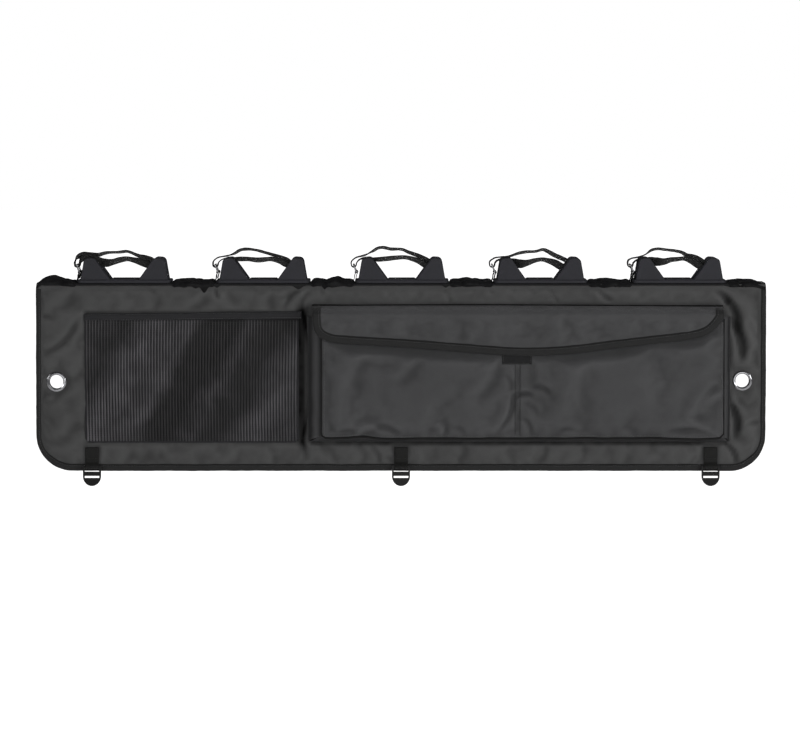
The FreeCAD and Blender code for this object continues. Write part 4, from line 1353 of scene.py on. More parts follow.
def build_mesh_hem():
    """Hem band along the top of the mesh, a little higher towards +X."""
    x, t = pair_grid(np.arange(HEM_LO[0], HEM_HI[0] + 2.9, 3.0), np.linspace(0, 1, 7))
    slant = 4.6 * (x - (HEM_LO[0] + HEM_HI[0]) / 2) / (HEM_HI[0] - HEM_LO[0])
    low = HEM_LO[2] + slant + 0.8 * noise(x / 40, 0.5, 86)
    high = HEM_HI[2] + slant + 0.9 * noise(x / 50, 4.5, 87)
    z = low + (high - low) * t
    y = (FRONT_Y - 1.5 - 0.6 * mesh_bulge(x, z) - 0.5 * np.sin(math.pi * t)
         - 0.35 * noise(x / 12, z / 9, 88))
    y = np.where(t > 0.8, y + (t - 0.8) * 8, y)
    data = shell(points(x, y, z), 1.5)
    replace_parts(make_mesh("mesh_hem_band", data, "hem_tape", "front_panel"), "mesh_hem")
    lines = [points(x[:, k], y[:, k] - 0.1, z[:, k]) for k in (1, 5)]
    stitches("mesh_hem_stitches", lines, FORWARD, "front_panel", pitch=4.2, length=2.9, radius=0.3)


build_shade_scrim()
build_net()
build_mesh_border()
build_mesh_hem()

# ---------------------------------------------------------------- bellows pocket: face
POCKET_FOLDS = [
    (-69, -112, -90, -184, 15, 4.2, "s"), (28, -112, -14, -164, 12, 3.2, "s"),
    (-84, -258, -46, -244, 7, 2.8, "r"), (-46, -244, 2, -264, 7, 2.4, "v"),
    (62, -238, 76, -258, 6, 2.2, "r"), (84, -246, 80, -262, 5, 1.6, "v"),
    (176, -112, 134, -196, 12, 2.8, "s"), (206, -184, 180, -252, 6, 3.6, "v"),
    (198, -200, 168, -256, 9, 2.2, "r"), (206, -190, 240, -186, 5, 3.0, "v"),
    (240, -170, 274, -184, 6, 2.4, "v"), (224, -228, 240, -260, 5, 2.4, "v"),
    (340, -112, 276, -262, 20, 3.6, "s"), (520, -232, 586, -180, 10, 3.0, "r"),
    (540, -215, 588, -170, 9, 2.6, "v"), (484, -254, 574, -268, 8, 2.8, "v"),
    (500, -244, 560, -252, 8, 2.0, "r"), (-118, -264, -80, -254, 7, 2.2, "v"),
    (100, -244, 118, -264, 6, 1.4, "v"), (290, -250, 330, -264, 7, 1.6, "v"),
    (400, -252, 430, -265, 7, 1.2, "s"), (-130, -120, -120, -240, 12, 1.4, "r"),
    (440, -110, 470, -200, 22, 1.8, "s"), (60, -120, 80, -220, 24, 1.6, "s"),
    (192, -150, 204, -178, 6, 1.6, "v"), (226, -200, 250, -222, 6, 1.4, "v")]
FLAP_LEFT, FLAP_RIGHT = -160, 588.5
FLAP_EDGE = [                       # x, z of the flap's lower edge
    (FLAP_LEFT, -44), (-159.6, -56), (-157.5, -68), (-150, -79), (-134, -87.5), (-112, -91.2),
    (0, -98), (106, -106), (209, -113.5), (300, -111), (400, -99), (509, -86.5), (548, -80),
    (566, -71.5), (577, -60), (583, -53), (FLAP_RIGHT, -44)]


def flap_edge_z(x):
    edge_x, edge_z = zip(*FLAP_EDGE[2:-3])
    return np.interp(x, edge_x, edge_z)


def pocket_y(x, z):
    """Face of the pocket before the simulation."""
    across = (x - FACE_LEFT) / (FACE_RIGHT - FACE_LEFT)
    upward = (z - FACE_BOTTOM) / (FACE_TOP - FACE_BOTTOM)
    rim = (smoothstep(0, 0.05, across) * smoothstep(0, 0.05, 1 - across)
           * smoothstep(0, 0.13, upward))
    left_part = np.clip((x - FACE_LEFT) / (DIVIDER_X - FACE_LEFT), 0, 1)
    right_part = np.clip((FACE_RIGHT - x) / (FACE_RIGHT - DIVIDER_X), 0, 1)
    halves = np.where(x < DIVIDER_X, np.sin(math.pi * left_part) ** 0.55,
                      np.sin(math.pi * right_part) ** 0.55)
    bulge = 3.4 * rim * halves * (0.55 + 0.45 * np.sin(math.pi * np.clip(upward, 0, 1)))
    bulge = bulge + 1.3 * layered_noise(x / 120, z / 90, 3, 101) * rim
    creases = (1.15 * folds(x, z, POCKET_FOLDS)
               + 0.35 * ridged(x / 110 - z / 200, z / 85 + x / 300, 107))
    edge = (smoothstep(-1, 7, x - FACE_LEFT) * smoothstep(-1, 7, FACE_RIGHT - x)
            * smoothstep(-1, 6, z - FACE_BOTTOM))
    bulge = bulge + creases * edge
    bulge = bulge - 1.6 * np.exp(-((x - DIVIDER_X) / 5.0) ** 2) * smoothstep(-95, -120, z)
    patch = window(x, z, LOOP_LO[0] - 2, LOOP_HI[0] + 2, LOOP_LO[2] - 2, 0, 10)
    bulge = bulge * (1 - patch * 0.85)
    hem_z = flap_edge_z(x)
    bulge = bulge * (1 - 0.85 * smoothstep(hem_z - 30, hem_z - 2, z))   # low under the flap
    near = np.minimum(np.minimum(x - FACE_LEFT, FACE_RIGHT - x), z - FACE_BOTTOM)
    return FACE_Y - np.clip(bulge, -3.0 * smoothstep(9, 24, near), 8.0)


FACE_XS = np.linspace(FACE_LEFT, FACE_RIGHT, 215)
FACE_LOW = add_humps(FACE_BOTTOM + 1.8 * noise(FACE_XS / 55, 0.6, 103), FACE_XS,
                     [(-70, 22, 3.6), (0, 26, -1.2), (545, 30, -2.0)])
FACE_LOW = FACE_LOW + 2.0 * smoothstep(FACE_LEFT + 12, FACE_LEFT, FACE_XS)
FACE_LOW = FACE_LOW + 2.0 * smoothstep(FACE_RIGHT - 12, FACE_RIGHT, FACE_XS)


def build_pocket_face():
    x, t = pair_grid(FACE_XS, np.linspace(0, 1, 70))
    low = FACE_LOW[:, None]
    z = low + (FACE_TOP - low) * t
    pin = np.maximum.reduce([
        smoothstep(5, 1.5, x - FACE_LEFT), smoothstep(5, 1.5, FACE_RIGHT - x),
        smoothstep(6, 2, z - FACE_BOTTOM), smoothstep(-56, -50, z),
        smoothstep(7, 4, np.abs(x - DIVIDER_X)),
        window(x, z, LOOP_LO[0] - 2, LOOP_HI[0] + 2, LOOP_LO[2] - 2, 0, 3)])
    grid = drape("pocket_face", points(x, pocket_y(x, z), z), pin, grow=0.006, pressure=0.10,
                 bend=3.0, cap=5.0, outward=FORWARD)
    hem_z = flap_edge_z(x)
    front_limit = FACE_Y + 0.9 - 11.2 * smoothstep(hem_z - 5, hem_z - 34, z)    # behind the flap
    near = np.minimum(np.minimum(x - FACE_LEFT, FACE_RIGHT - x), z - low)
    deep = np.minimum(3.5 * smoothstep(9, 24, near),
                      1.2 + 4.0 * smoothstep(6, 16, np.abs(x - DIVIDER_X)))
    grid[..., 1] = np.minimum(np.maximum(grid[..., 1], front_limit), FACE_Y + deep)
    # painted shade in the creases and highlight on the ridges, and painted shadow just under the
    # flap's lower edge
    shade = crease_shade(FACE_Y - grid[..., 1]) - 0.25 * smoothstep(hem_z - 12, hem_z - 1, z)
    data = shell(grid, 1.1, shade=np.clip(shade, -0.8, 0.3))
    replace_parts(make_mesh("pocket_face_cloth", data, "pocket_cloth", "pocket_front"),
                "pocket_face")
    return grid


FACE_GRID = build_pocket_face()


def on_pocket(x, z):
    """Y of the finished pocket face at (x, z)."""
    x, z = np.asarray(x, float), np.asarray(z, float)
    rows, cols = FACE_GRID.shape[:2]
    low = np.interp(x, FACE_XS, FACE_LOW)
    row = np.clip((x - FACE_LEFT) / (FACE_RIGHT - FACE_LEFT) * (rows - 1), 0, rows - 1.001)
    col = np.clip((z - low) / (FACE_TOP - low) * (cols - 1), 0, cols - 1.001)
    i, j = row.astype(int), col.astype(int)
    u, v = row - i, col - j
    y = FACE_GRID[..., 1]
    return ((y[i, j] * (1 - u) + y[i + 1, j] * u) * (1 - v)
            + (y[i, j + 1] * (1 - u) + y[i + 1, j + 1] * u) * v)


def build_pocket_piping():
    """Turned edge round the face: -X side, bottom, +X side. Its black colour, thicker along the
    bottom, is partly the real edge and partly painted shadow under the pocket's lower edge.
    """
    path = np.concatenate([FACE_GRID[0, ::-2], FACE_GRID[2::3, 0], FACE_GRID[-1, 2::2]])
    outs = unit(np.cross(np.tile([0, -1.0, 0], (len(path), 1)), tangents(path)))
    size = (1.15 + 1.2 * smoothstep(FACE_BOTTOM + 12, FACE_BOTTOM + 2, path[:, 2])
            + 0.35 * noise(np.arange(len(path)) / 3.0, 0.5, 105))
    rings = [[(math.cos(a) * k * 1.05, max(math.sin(a) * k, -0.9) - 0.4)
              for a in circle_angles(8)] for k in size]
    make_mesh("pocket_edge_piping", sweep(path, outs, FORWARD, rings), "black_seam_and_shadow",
              "pocket_front")


def build_pocket_hem():
    """Hem of the face, under the flap."""
    x, t = pair_grid(np.linspace(FACE_LEFT + 1, FACE_RIGHT - 1, 120), np.linspace(0, 1, 6))
    z = FACE_TOP - 9 + 9.3 * t
    grid = points(x, on_pocket(x, np.minimum(z, FACE_TOP)) - 0.5, z)
    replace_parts(make_mesh("pocket_hem_tape", shell(grid, 2.2), "hem_tape", "pocket_front"),
                "pocket_face_hem")


build_pocket_piping()
build_pocket_hem()

# ---------------------------------------------------------------- bellows pocket: sides
GUSSET_BACK = FRONT_Y - 0.2         # where the gussets are sewn to the panel
GUSSET_DEPTH = FACE_BACK + 0.7 - GUSSET_BACK


def squash(obj):
    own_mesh(obj)


def finish_gusset(name, grid, normals, shade, node):
    data = shell(grid, 1.0, normals=normals, shade=shade)
    obj = make_mesh(name, data, "pocket_cloth", "front_panel")
    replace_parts(obj, node)
    squash(obj)


def side_gusset(side_name, back_x, front_x, seed):
    """Pleated strip from the panel (depth 0) to the face (depth 1)."""
    depth, t = pair_grid(np.linspace(0, 1, 15), np.linspace(0, 1, 60))
    sign = 1.0 if front_x > back_x else -1.0
    inward = np.clip(depth / 0.68, 0, 1)
    low = (POCKET_BOTTOM + 1.0) * (1 - inward) + (FACE_BOTTOM + 6.0) * inward
    z = low + (FACE_TOP - 0.5 - low) * t
    phase = np.minimum(depth / 0.72, 1) * math.pi
    pleat = 2.8 * np.sin(phase * 2.0) * np.sin(phase) ** 0.5
    middle = np.sin(inward * math.pi)
    x = (back_x + (front_x - back_x) * inward
         - sign * pleat * (0.75 + 0.5 * noise(z / 45, depth * 2, seed))
         + 1.2 * noise(z / 28, depth * 3, seed + 1) * middle)
    y = (GUSSET_BACK + GUSSET_DEPTH * depth
         + 1.2 * noise(z / 33, depth * 2 + 4, seed + 2) * middle)
    grid = points(x, y, z)
    # painted shade: the gusset is darkened overall, in its pleats' valleys and most near the panel;
    # the pleat crests get a faint painted highlight
    shade = (-0.30 + 0.34 * np.cos(phase * 4.0)
             - (0.35 if sign > 0 else 0.08) * smoothstep(0.2, 0.0, depth))
    finish_gusset("gusset_%s_cloth" % side_name, grid, facing(grid, (7, 30), 0, -sign),
                  np.clip(shade, -0.8, 0.1), "pocket_gusset_" + side_name)


def bottom_gusset():
    t, depth = pair_grid(np.linspace(0, 1, 150), np.linspace(0, 1, 11))
    inward = np.clip(depth / 0.68, 0, 1)
    left = (POCKET_LEFT + 2) * (1 - inward) + (FACE_LEFT + 4.5) * inward
    right = (POCKET_RIGHT - 2) * (1 - inward) + (FACE_RIGHT - 4.5) * inward
    x = left * (1 - t) + right * t
    z = (POCKET_BOTTOM * (1 - inward) + (np.interp(x, FACE_XS, FACE_LOW) + 4.2) * inward
         - 1.8 * np.sin(inward * math.pi * 2)
         + 1.0 * noise(x / 30, depth * 2, 131) * np.sin(inward * math.pi))
    grid = points(x, GUSSET_BACK + GUSSET_DEPTH * depth, z)
    # painted shade: the bottom gusset is darkened, most near the panel, as it lies in shadow under the
    # pocket
    finish_gusset("gusset_bottom_cloth", grid, facing(grid, (70, 5), 2, -1),
                  -0.35 - 0.3 * smoothstep(0.25, 0.0, depth), "pocket_gusset_bottom")


def build_divider():
    y, z = pair_grid(np.linspace(FACE_BACK + 1.6, DIVIDER_HI[1], 9),
                     np.linspace(DIVIDER_LO[2], DIVIDER_HI[2], 40))
    grid = points(DIVIDER_X + 1.6 * noise(y / 14, z / 40, 141), y, z)
    obj = make_mesh("pocket_divider_cloth", shell(grid, 1.0), "lining_cloth", "front_panel")
    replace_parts(obj, "pocket_divider")
    squash(obj)


side_gusset("left", POCKET_LEFT, FACE_LEFT + 3.9, 111)
side_gusset("right", POCKET_RIGHT, FACE_RIGHT - 3.9, 121)
bottom_gusset()
build_divider()


# ---------------------------------------------------------------- bellows pocket: details
def face_line(x, z):
    """Stitch line just proud of the pocket's face."""
    return points(x, on_pocket(x, z) - 0.15, z)


def upright_line(x, bottom, top, count):
    z = np.linspace(bottom, top, count)
    return face_line(np.full_like(z, x), z)


def build_face_stitches():
    """Twin lines at the divider, and a line along the sides and the bottom."""
    lines = [upright_line(DIVIDER_X + offset, LOOP_LO[2] + 10, FACE_BOTTOM + 5, 60)
             for offset in (-4.3, 4.6)]
    # black thread: real topstitching, whose dark colour also paints the shade of the twin grooves
    stitches("divider_stitches", lines, FORWARD, "pocket_front", pitch=3.4, length=3.0,
             radius=0.5, material="black_seam_and_shadow")
    lines = [upright_line(x, FACE_BOTTOM + 6, FACE_TOP - 12, 80)
             for x in (FACE_LEFT + 4.5, FACE_RIGHT - 4.5)]
    x = np.linspace(FACE_LEFT + 6, FACE_RIGHT - 6, 220)
    lines.append(face_line(x, np.interp(x, FACE_XS, FACE_LOW) + 4.5))
    stitches("pocket_edge_stitches", lines, FORWARD, "pocket_front", pitch=4.0, length=2.7,
             radius=0.3)


def build_loop_patch():
    x, z = pair_grid(np.linspace(LOOP_LO[0], LOOP_HI[0], 28), np.linspace(LOOP_LO[2], LOOP_HI[2], 22))
    grid = points(x, on_pocket(x, z) - 1.3 - 0.25 * noise(x / 3, z / 3, 151), z)
    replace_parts(make_mesh("loop_patch_pile", shell(grid, 1.3), "hook_loop_pile", "pocket_front"),
                "pocket_loop_patch")
    lines = box_lines(LOOP_LO[0] + 2, LOOP_HI[0] - 2, LOOP_LO[2] + 2, LOOP_HI[2] - 2, 14,
                      lambda x, z: on_pocket(x, z) - 1.5)
    stitches("loop_patch_stitches", lines, FORWARD, "pocket_front", pitch=3.4, length=2.3,
             radius=0.28)


build_face_stitches()
build_loop_patch()

# ---------------------------------------------------------------- flap
FLAP_Y = FLAP_LO[1] + 1.0
FLAP_FOLDS = [
    (91, -24, 93, -37, 4, 2.2, "v"), (84, -36, 99, -100, 16, 1.6, "s"),
    (289, -32, 308, -76, 12, 1.8, "s"), (-130, -46, -100, -72, 14, 1.4, "s"),
    (200, -30, 210, -100, 26, 0.9, "s"), (430, -30, 420, -90, 24, 1.2, "s"),
    (10, -28, -10, -90, 22, 0.9, "s"), (520, -36, 540, -70, 14, 1.2, "s"),
    (176, -25, 178, -36, 4, 1.4, "v"), (340, -25, 342, -34, 5, 1.2, "v"),
    (-60, -26, -50, -80, 24, 1.0, "s")]
FLAP_OUTLINE = spline(FLAP_EDGE, 5.0)


def flap_y(x, z):
    """Face of the flap: it bends out from the seam and then hangs."""
    t = np.clip((SEAM_Z - z) / 17.0, 0, 1)
    root = FRONT_Y - 0.9
    base = root + (FLAP_Y - root) * np.sin(t * math.pi / 2) ** 0.9
    bulge = (0.8 * layered_noise(x / 130, z / 60, 2, 161) + 1.0 * folds(x, z, FLAP_FOLDS)
             + 0.25 * ridged(x / 100, z / 70, 167))
    return base - (bulge + 0.8) * smoothstep(0.35, 1.0, t) * 0.9


def seam_line(x):
    return SEAM_Z + 0.9 * np.interp(x, [-160, 130, 588], [-1.6, 0.0, -3.0])


def hang_flap(obj, node):
    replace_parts(obj, node)
    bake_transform(obj)


def build_flap():
    xs = np.unique(np.concatenate([np.linspace(FLAP_LEFT, -130, 16), np.linspace(-130, 545, 170),
                                   np.linspace(545, FLAP_RIGHT, 22)]))
    order = np.argsort(FLAP_OUTLINE[:, 0])
    low = np.interp(xs, FLAP_OUTLINE[order, 0], FLAP_OUTLINE[order, 1])[:, None]
    seam = seam_line(xs)[:, None]
    x, t = pair_grid(xs, np.linspace(0, 1, 44) ** 1.15)
    z = seam + (low - seam) * t
    pin = np.maximum.reduce([
        smoothstep(21, 15, z - low), smoothstep(-3, -1, z - seam),
        window(x, z, HOOK_LO[0] - 3, HOOK_HI[0] + 3, HOOK_LO[2] - 3, HOOK_HI[2] + 3, 7),
        smoothstep(14, 9, x - FLAP_LEFT), smoothstep(14, 9, FLAP_RIGHT - x),
        0.5 * smoothstep(12, 17, seam - z) * smoothstep(27, 21, seam - z)])
    grid = drape("flap", points(x, flap_y(x, z), z), pin, grow=0.007, pressure=0.05, bend=3.0,
                 cap=5.0, outward=FORWARD)
    y = np.maximum(grid[..., 1], FLAP_Y - 5.5)
    # in front of the pocket's face
    over_face = (z < FACE_TOP + 1) & (x > FACE_LEFT) & (x < FACE_RIGHT)
    limit = on_pocket(x, np.minimum(z, FACE_TOP)) - 2.2
    grid[..., 1] = y = np.where(over_face, np.minimum(y, limit), y)
    # painted shade and highlight in the flap's creases, and painted shadow just under the seam's lip
    shade = (crease_shade(FLAP_Y - y) * smoothstep(14, 24, seam - z)
             - 0.25 * smoothstep(5.0, 0.5, seam - z))
    data = shell(grid, 1.8, flip=True, shade=np.clip(shade, -0.8, 0.3))
    hang_flap(make_mesh("flap_cloth", data, "pocket_cloth"), "flap_shell")


def build_flap_tape():
    """Bound edge: down the -X side, along the lower edge, up the +X side."""
    lead = [(FLAP_LEFT, z) for z in np.linspace(SEAM_Z - 2.5, -44, 6)][:-1]
    tail = [(FLAP_RIGHT, z) for z in np.linspace(-44, SEAM_Z - 3.5, 6)][1:]
    run, outline = resample(lead + FLAP_OUTLINE.tolist() + tail, 4.0)
    for _ in range(3):
        outline = soften(outline)
    x, z = outline.T
    path = points(x, flap_y(x, z) + 0.9, z)
    ahead = tangents(outline)
    outs = points(ahead[:, 1], 0.0, -ahead[:, 0])
    if outs[len(outs) // 2, 2] > 0:
        outs = -outs
    along = tangents(path)
    normals = np.tile([0, -1.0, 0], (len(path), 1))
    normals = unit(normals - along * np.sum(normals * along, axis=1, keepdims=True))
    wobble = 0.5 * noise(run / 14, 0.4, 171) + 0.3 * noise(run / 5, 0.9, 172)
    width = 13.5 + 0.8 * noise(run / 30, 2.0, 173)
    profile = []
    for sway, inner in zip(wobble, width):
        face = 1.0 + 0.85 + 0.3 * sway
        profile.append([
            (-inner, 0.7), (-inner, face - 0.3), (-inner * 0.6, face + 0.2),
            (-inner * 0.2, face + 0.1), (0.6, face - 0.2), (1.5, 0.8), (1.7, 0), (1.5, -0.8),
            (0.6, -face + 0.2), (-inner * 0.4, -face), (-inner, -face + 0.3), (-inner, -0.7),
            (-0.2, -0.6), (-0.2, 0.6)])
    hang_flap(make_mesh("flap_edge_tape", sweep(path, outs, normals, profile), "binding_tape"),
              "flap_binding")
    below = z < SEAM_Z - 8
    line = path - outs * 9.6 + normals * 2.0
    stitches("flap_tape_stitches", [line[below]], normals[below], "flap", pitch=4.2, length=2.9,
             radius=0.34)


def build_hook_patch():
    x, z = pair_grid(np.linspace(HOOK_LO[0], HOOK_HI[0], 20), np.linspace(HOOK_LO[2], HOOK_HI[2], 8))
    grid = points(x, flap_y(x, z) + 1.85 + 0.15 * noise(x / 3, z / 3, 181), z)
    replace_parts(make_mesh("flap_hook_pile", shell(grid, 0.8), "hook_loop_pile", "flap"),
                "flap_hook_patch")


def build_seam_shadow_strip():
    """Black strip along the flap's sewn edge: painted shadow under the cloth's lip above the seam,
    wider towards the ends.
    """
    xs = np.arange(-163, 592, 3.0)
    radius = (0.95 + 0.9 * smoothstep(-90, -150, xs) + 0.9 * smoothstep(470, 570, xs)
              + 0.35 * noise(xs / 24, 0.4, 191))
    path = points(xs, FRONT_Y - 0.3 - radius * 0.7, seam_line(xs) + 1.1)
    rings = [oval(9, size, size * 0.9) for size in radius]
    make_mesh("flap_seam_shadow_strip", sweep(path, (0, 0, 1), FORWARD, rings), "black_seam_and_shadow",
              "front_panel")


build_flap()
build_flap_tape()
build_hook_patch()
build_seam_shadow_strip()


# ---------------------------------------------------------------- webbing tabs on the front
def buckle_tab(side_name, centre, left, right, top):
    """Webbing that loops round the buckle's bar and is sewn to the panel."""
    _, bar_y, bar_z = joint_mm("buckle_%s_swing" % side_name)
    outer_y = FRONT_Y - 3.4
    loop_radius = 3.25
    path = [(centre, FRONT_Y - 1.3, top - 1), (centre, FRONT_Y - 1.4, top - 16),
            (centre, FRONT_Y - 1.5, bar_z + 9), (centre, bar_y + 3.6, bar_z + 4.4)]
    for angle in np.linspace(math.radians(20), math.radians(-250), 26):
        path.append((centre, bar_y + loop_radius * math.cos(angle),
                     bar_z + loop_radius * math.sin(angle)))
    path += [(centre, bar_y - 1.2, bar_z + 4.2), (centre, outer_y - 0.4, bar_z + 8.5),
             (centre, outer_y, bar_z + 14), (centre, outer_y, top - 3),
             (centre, outer_y + 0.1, top + 0.2)]
    path = soften(soften(resample(path, 1.6)[1]))
    width = right - left
    obj = make_mesh("tab_" + side_name, flat_webbing(path, width, 1.5), "webbing", "front_panel")
    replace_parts(obj, "buckle_tab_" + side_name)
    reach = width / 2 - 2.4
    lines = box_lines(centre - reach, centre + reach, bar_z + 15.5, top - 3.0, 9,
                      lambda x, z: outer_y - 0.85)
    stitches("tab_stitches_" + side_name, lines, FORWARD, "front_panel", pitch=2.9, length=2.1,
             radius=0.3, material="binding_tape")
    repaint("buckle_" + side_name, "buckle_plastic")


for side_name, tab in zip(SIDES, TABS):
    buckle_tab(side_name, *tab)

# ---------------------------------------------------------------- straps over the tubes
# One row for each cradle; entries are x from the cradle's centre, z, roll in degrees.
RUNS = [                            # over the tube, from +X to the ring
    [(40, 48.5, 20), (27, 53.5, 16), (14, 57, 11), (3, 59, 9), (-10, 57, 11), (-22, 53.5, 12),
     (-38, 52, 20), (-50, 58, 12), (-62, 62.6, 13), (-72, 61.5, 17), (-80, 57, 10)],
    [(40, 49.5, 18), (30, 55, 14), (16, 58.5, 10), (8, 58.5, 8), (-9.5, 57, 9), (-30, 59, 8),
     (-48, 59, 7), (-62, 60.5, 0), (-72, 59.5, 0), (-80, 55.5, 0)],
    [(42, 48.5, 18), (32, 54.5, 14), (20, 59, 10), (5, 62, 8), (-12, 61, 8), (-30, 59, 9),
     (-49, 58, 8), (-62, 61, 0), (-72, 60, 0), (-80, 56, 0)],
    [(38, 45, 20), (27, 51.5, 15), (14, 56, 10), (4, 58, 8), (-10, 56, 10), (-24, 51.5, 14),
     (-38, 50, 22), (-50, 55.5, 12), (-62, 59.5, 0), (-72, 58.5, 0), (-80, 55.5, 0)],
    [(38, 47, 18), (27, 54, 13), (12, 59.5, 9), (0, 58.5, 8), (-14, 57, 10), (-27, 53.5, 16),
     (-42, 54, 20), (-52, 59, 8), (-62, 61, 0), (-71, 59, 0), (-79, 55.5, 0)]]
TAILS = [                           # the free end, from the ring back towards +X
    [(-91, 58, 0), (-86, 62.5, 22), (-77, 66.4, 30), (-62, 66.8, 20), (-50, 66.6, 6),
     (-33, 70.4, 3), (-10, 71.2, 2), (2, 72.6, 3), (10, 70.6, 4), (25, 64.2, 8), (38, 60.2, 15),
     (48, 56.3, 19)],
    [(-91, 56.5, 0), (-84, 61.5, 0), (-74, 63.6, 0), (-66, 65, 0), (-53, 69, 2), (-43, 75, 2),
     (-30, 77, 2), (-12, 74.8, 2), (8.6, 69, 4), (29, 62.8, 6), (44, 57.6, 8)],
    [(-91, 56.5, 0), (-84, 61.5, 0), (-74, 64, 0), (-66, 66.6, 0), (-52, 74, 2), (-44.5, 78.6, 2),
     (-34, 80, 2), (-21, 77.3, 2), (-1, 76.5, 3), (14.6, 70.2, 5), (32, 63.8, 6), (48, 56.2, 8)],
    [(-91, 56, 0), (-84, 60.5, 0), (-74, 62.4, 0), (-62, 63.4, 0), (-54, 64.4, 1), (-40.5, 69, 3),
     (-26.5, 71.8, 3), (-8, 72.9, 3), (5, 76.2, 3), (13, 73.4, 5), (27, 65.6, 7), (46, 57.4, 9)],
    [(-92, 56.5, 0), (-86, 60, 0), (-78, 61.6, 0), (-70, 63.4, 0), (-60, 67.4, 0), (-49.8, 75, 2),
     (-38.4, 77.4, 2), (-22.4, 75.6, 2), (-4.2, 73.4, 3), (8, 70.4, 4), (14, 66.4, 6),
     (27.7, 63.4, 8), (37, 59, 9), (45, 54, 10)]]
STRAP_STEP = 2.6


def strap_mesh(name, rows, width, thick, seed, rag):
    """Strap along (x, z, roll) rows, its width along Y before the roll. rag is how uneven it is."""
    stations = spline(rows, STRAP_STEP)
    ahead = tangents(stations[:, :2])
    run = np.arange(len(stations)) * STRAP_STEP
    roll = np.radians(stations[:, 2] + 3.0 * noise(run / 30, 0.7, seed))[:, None]
    upward = points(-ahead[:, 1], 0.0, ahead[:, 0])
    across = np.array([0, 1.0, 0]) * np.cos(roll) + upward * np.sin(roll)
    normals = np.cross(points(ahead[:, 0], 0.0, ahead[:, 1]), across)
    t = np.linspace(-1, 1, 13)
    half = (width / 2 + rag * noise(run / 7, 0.5, seed + 1))[:, None]
    cup = 0.5 * noise(run / 40, 1.5, seed + 2)[:, None]
    lift = cup * t * t + rag * 0.5 * noise(run[:, None] / 9, t * 2.2, seed + 3)
    crown = thick / 2 * (1 - 0.35 * abs(t) ** 6)
    top = np.stack([half * t * 0.995, lift + crown], axis=-1)
    low = np.stack([half * t * 0.995, lift - crown], axis=-1)[:, ::-1]
    path = points(stations[:, 0], 0.0, stations[:, 1])
    data = sweep(path, across, normals, np.concatenate([top, low], axis=1))
    return make_mesh(name, data, "hook_loop_pile")


def tube_strap(number, centre, run, tail):
    """The strap over the tube, turned round the ring's bar, and its free tail."""
    ring_low, ring_high = box_mm("strap_ring_%d" % number)
    bar_x, bar_z = ring_low[0] + 1.5 - centre, ring_high[2] - 1.5
    strap_low, strap_high = box_mm("strap_%d" % number)
    width = strap_high[1] - strap_low[1] - 1.2
    seed = 190 + 10 * number
    drop = 4.0 if number < 5 else 5.5
    start = [(69.5, 24.0, 0), (60, 23.9, 0), (53.8, 26.4, 0), (51.4, 34.5, 4),
             (48.6, run[0][1] - drop, 16)]
    rolled = [(x, z, roll + 5.0 * float(smoothstep(-60, -46, x) * smoothstep(38, 24, x)))
              for x, z, roll in run]
    turn = [(bar_x + 4.65 * math.cos(a), bar_z + 4.65 * math.sin(a), 0)
            for a in np.radians(np.linspace(18, -196, 14))]
    obj = strap_mesh("tube_strap_%d" % number,
                     [(centre + x, z, roll) for x, z, roll in start + rolled + turn],
                     width, thick=2.3, seed=seed, rag=0.4)
    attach(obj, "spine")
    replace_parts(obj, "strap_%d" % number)

    hinge_x, _, crease_z = joint_mm("tail_%d_peel" % number)
    crease_x = hinge_x - centre
    rows = [(crease_x + 0.1, crease_z - 2.0, 0), (crease_x + 0.3, crease_z + 0.6, 0)]
    rows += [(x, z, roll + 12.0 * float(smoothstep(-68, -50, x))) for x, z, roll in tail]
    rows.append((rows[-1][0] + 6.0, rows[-1][1] - 5.2, rows[-1][2]))
    obj = strap_mesh("strap_tail_cloth_%d" % number,
                     [(centre + x, z, -0.6 * roll) for x, z, roll in rows],
                     width - 0.6, thick=2.4, seed=seed + 4, rag=0.9)
    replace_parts(obj, "strap_tail_%d" % number)
    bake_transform(obj)
    repaint("strap_ring_%d" % number, "ring_steel")
    repaint("cradle_%d" % number, "moulded_rubber")


def ring_loop(number):
    """Webbing that loops round a ring and runs in under the cradle."""
    x, _, z = joint_mm("ring_%d_rock" % number)
    path = [(x - 1.0, 23.5), (x - 0.2, 27), (x + 0.6, z - 4.6)]
    path += [(x + 2.75 * math.cos(a), z + 2.75 * math.sin(a))
             for a in np.radians(np.linspace(-60, 235, 18))]
    path += [(x - 3.2, z - 5), (x - 3.4, 26), (x - 5.4, 20), (x - 12, 18.0), (x - 20, 17.9)]
    line = spline(path, 1.3)
    ahead = tangents(line)
    return sweep(points(line[:, 0], 0.0, line[:, 1]), (0, 1, 0),
                 points(-ahead[:, 1], 0.0, ahead[:, 0]), flat_section(35, 1.3))


for i in range(5):
    tube_strap(i + 1, CRADLES[i][0], RUNS[i], TAILS[i])
anchors = make_mesh("ring_anchor_loops", join([ring_loop(i) for i in range(1, 6)]), "webbing",
                    "spine")
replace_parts(anchors, "ring_anchors")

for node in ("grommet_left", "grommet_right", "grommet_washers"):
    repaint(node, "grommet_metal")


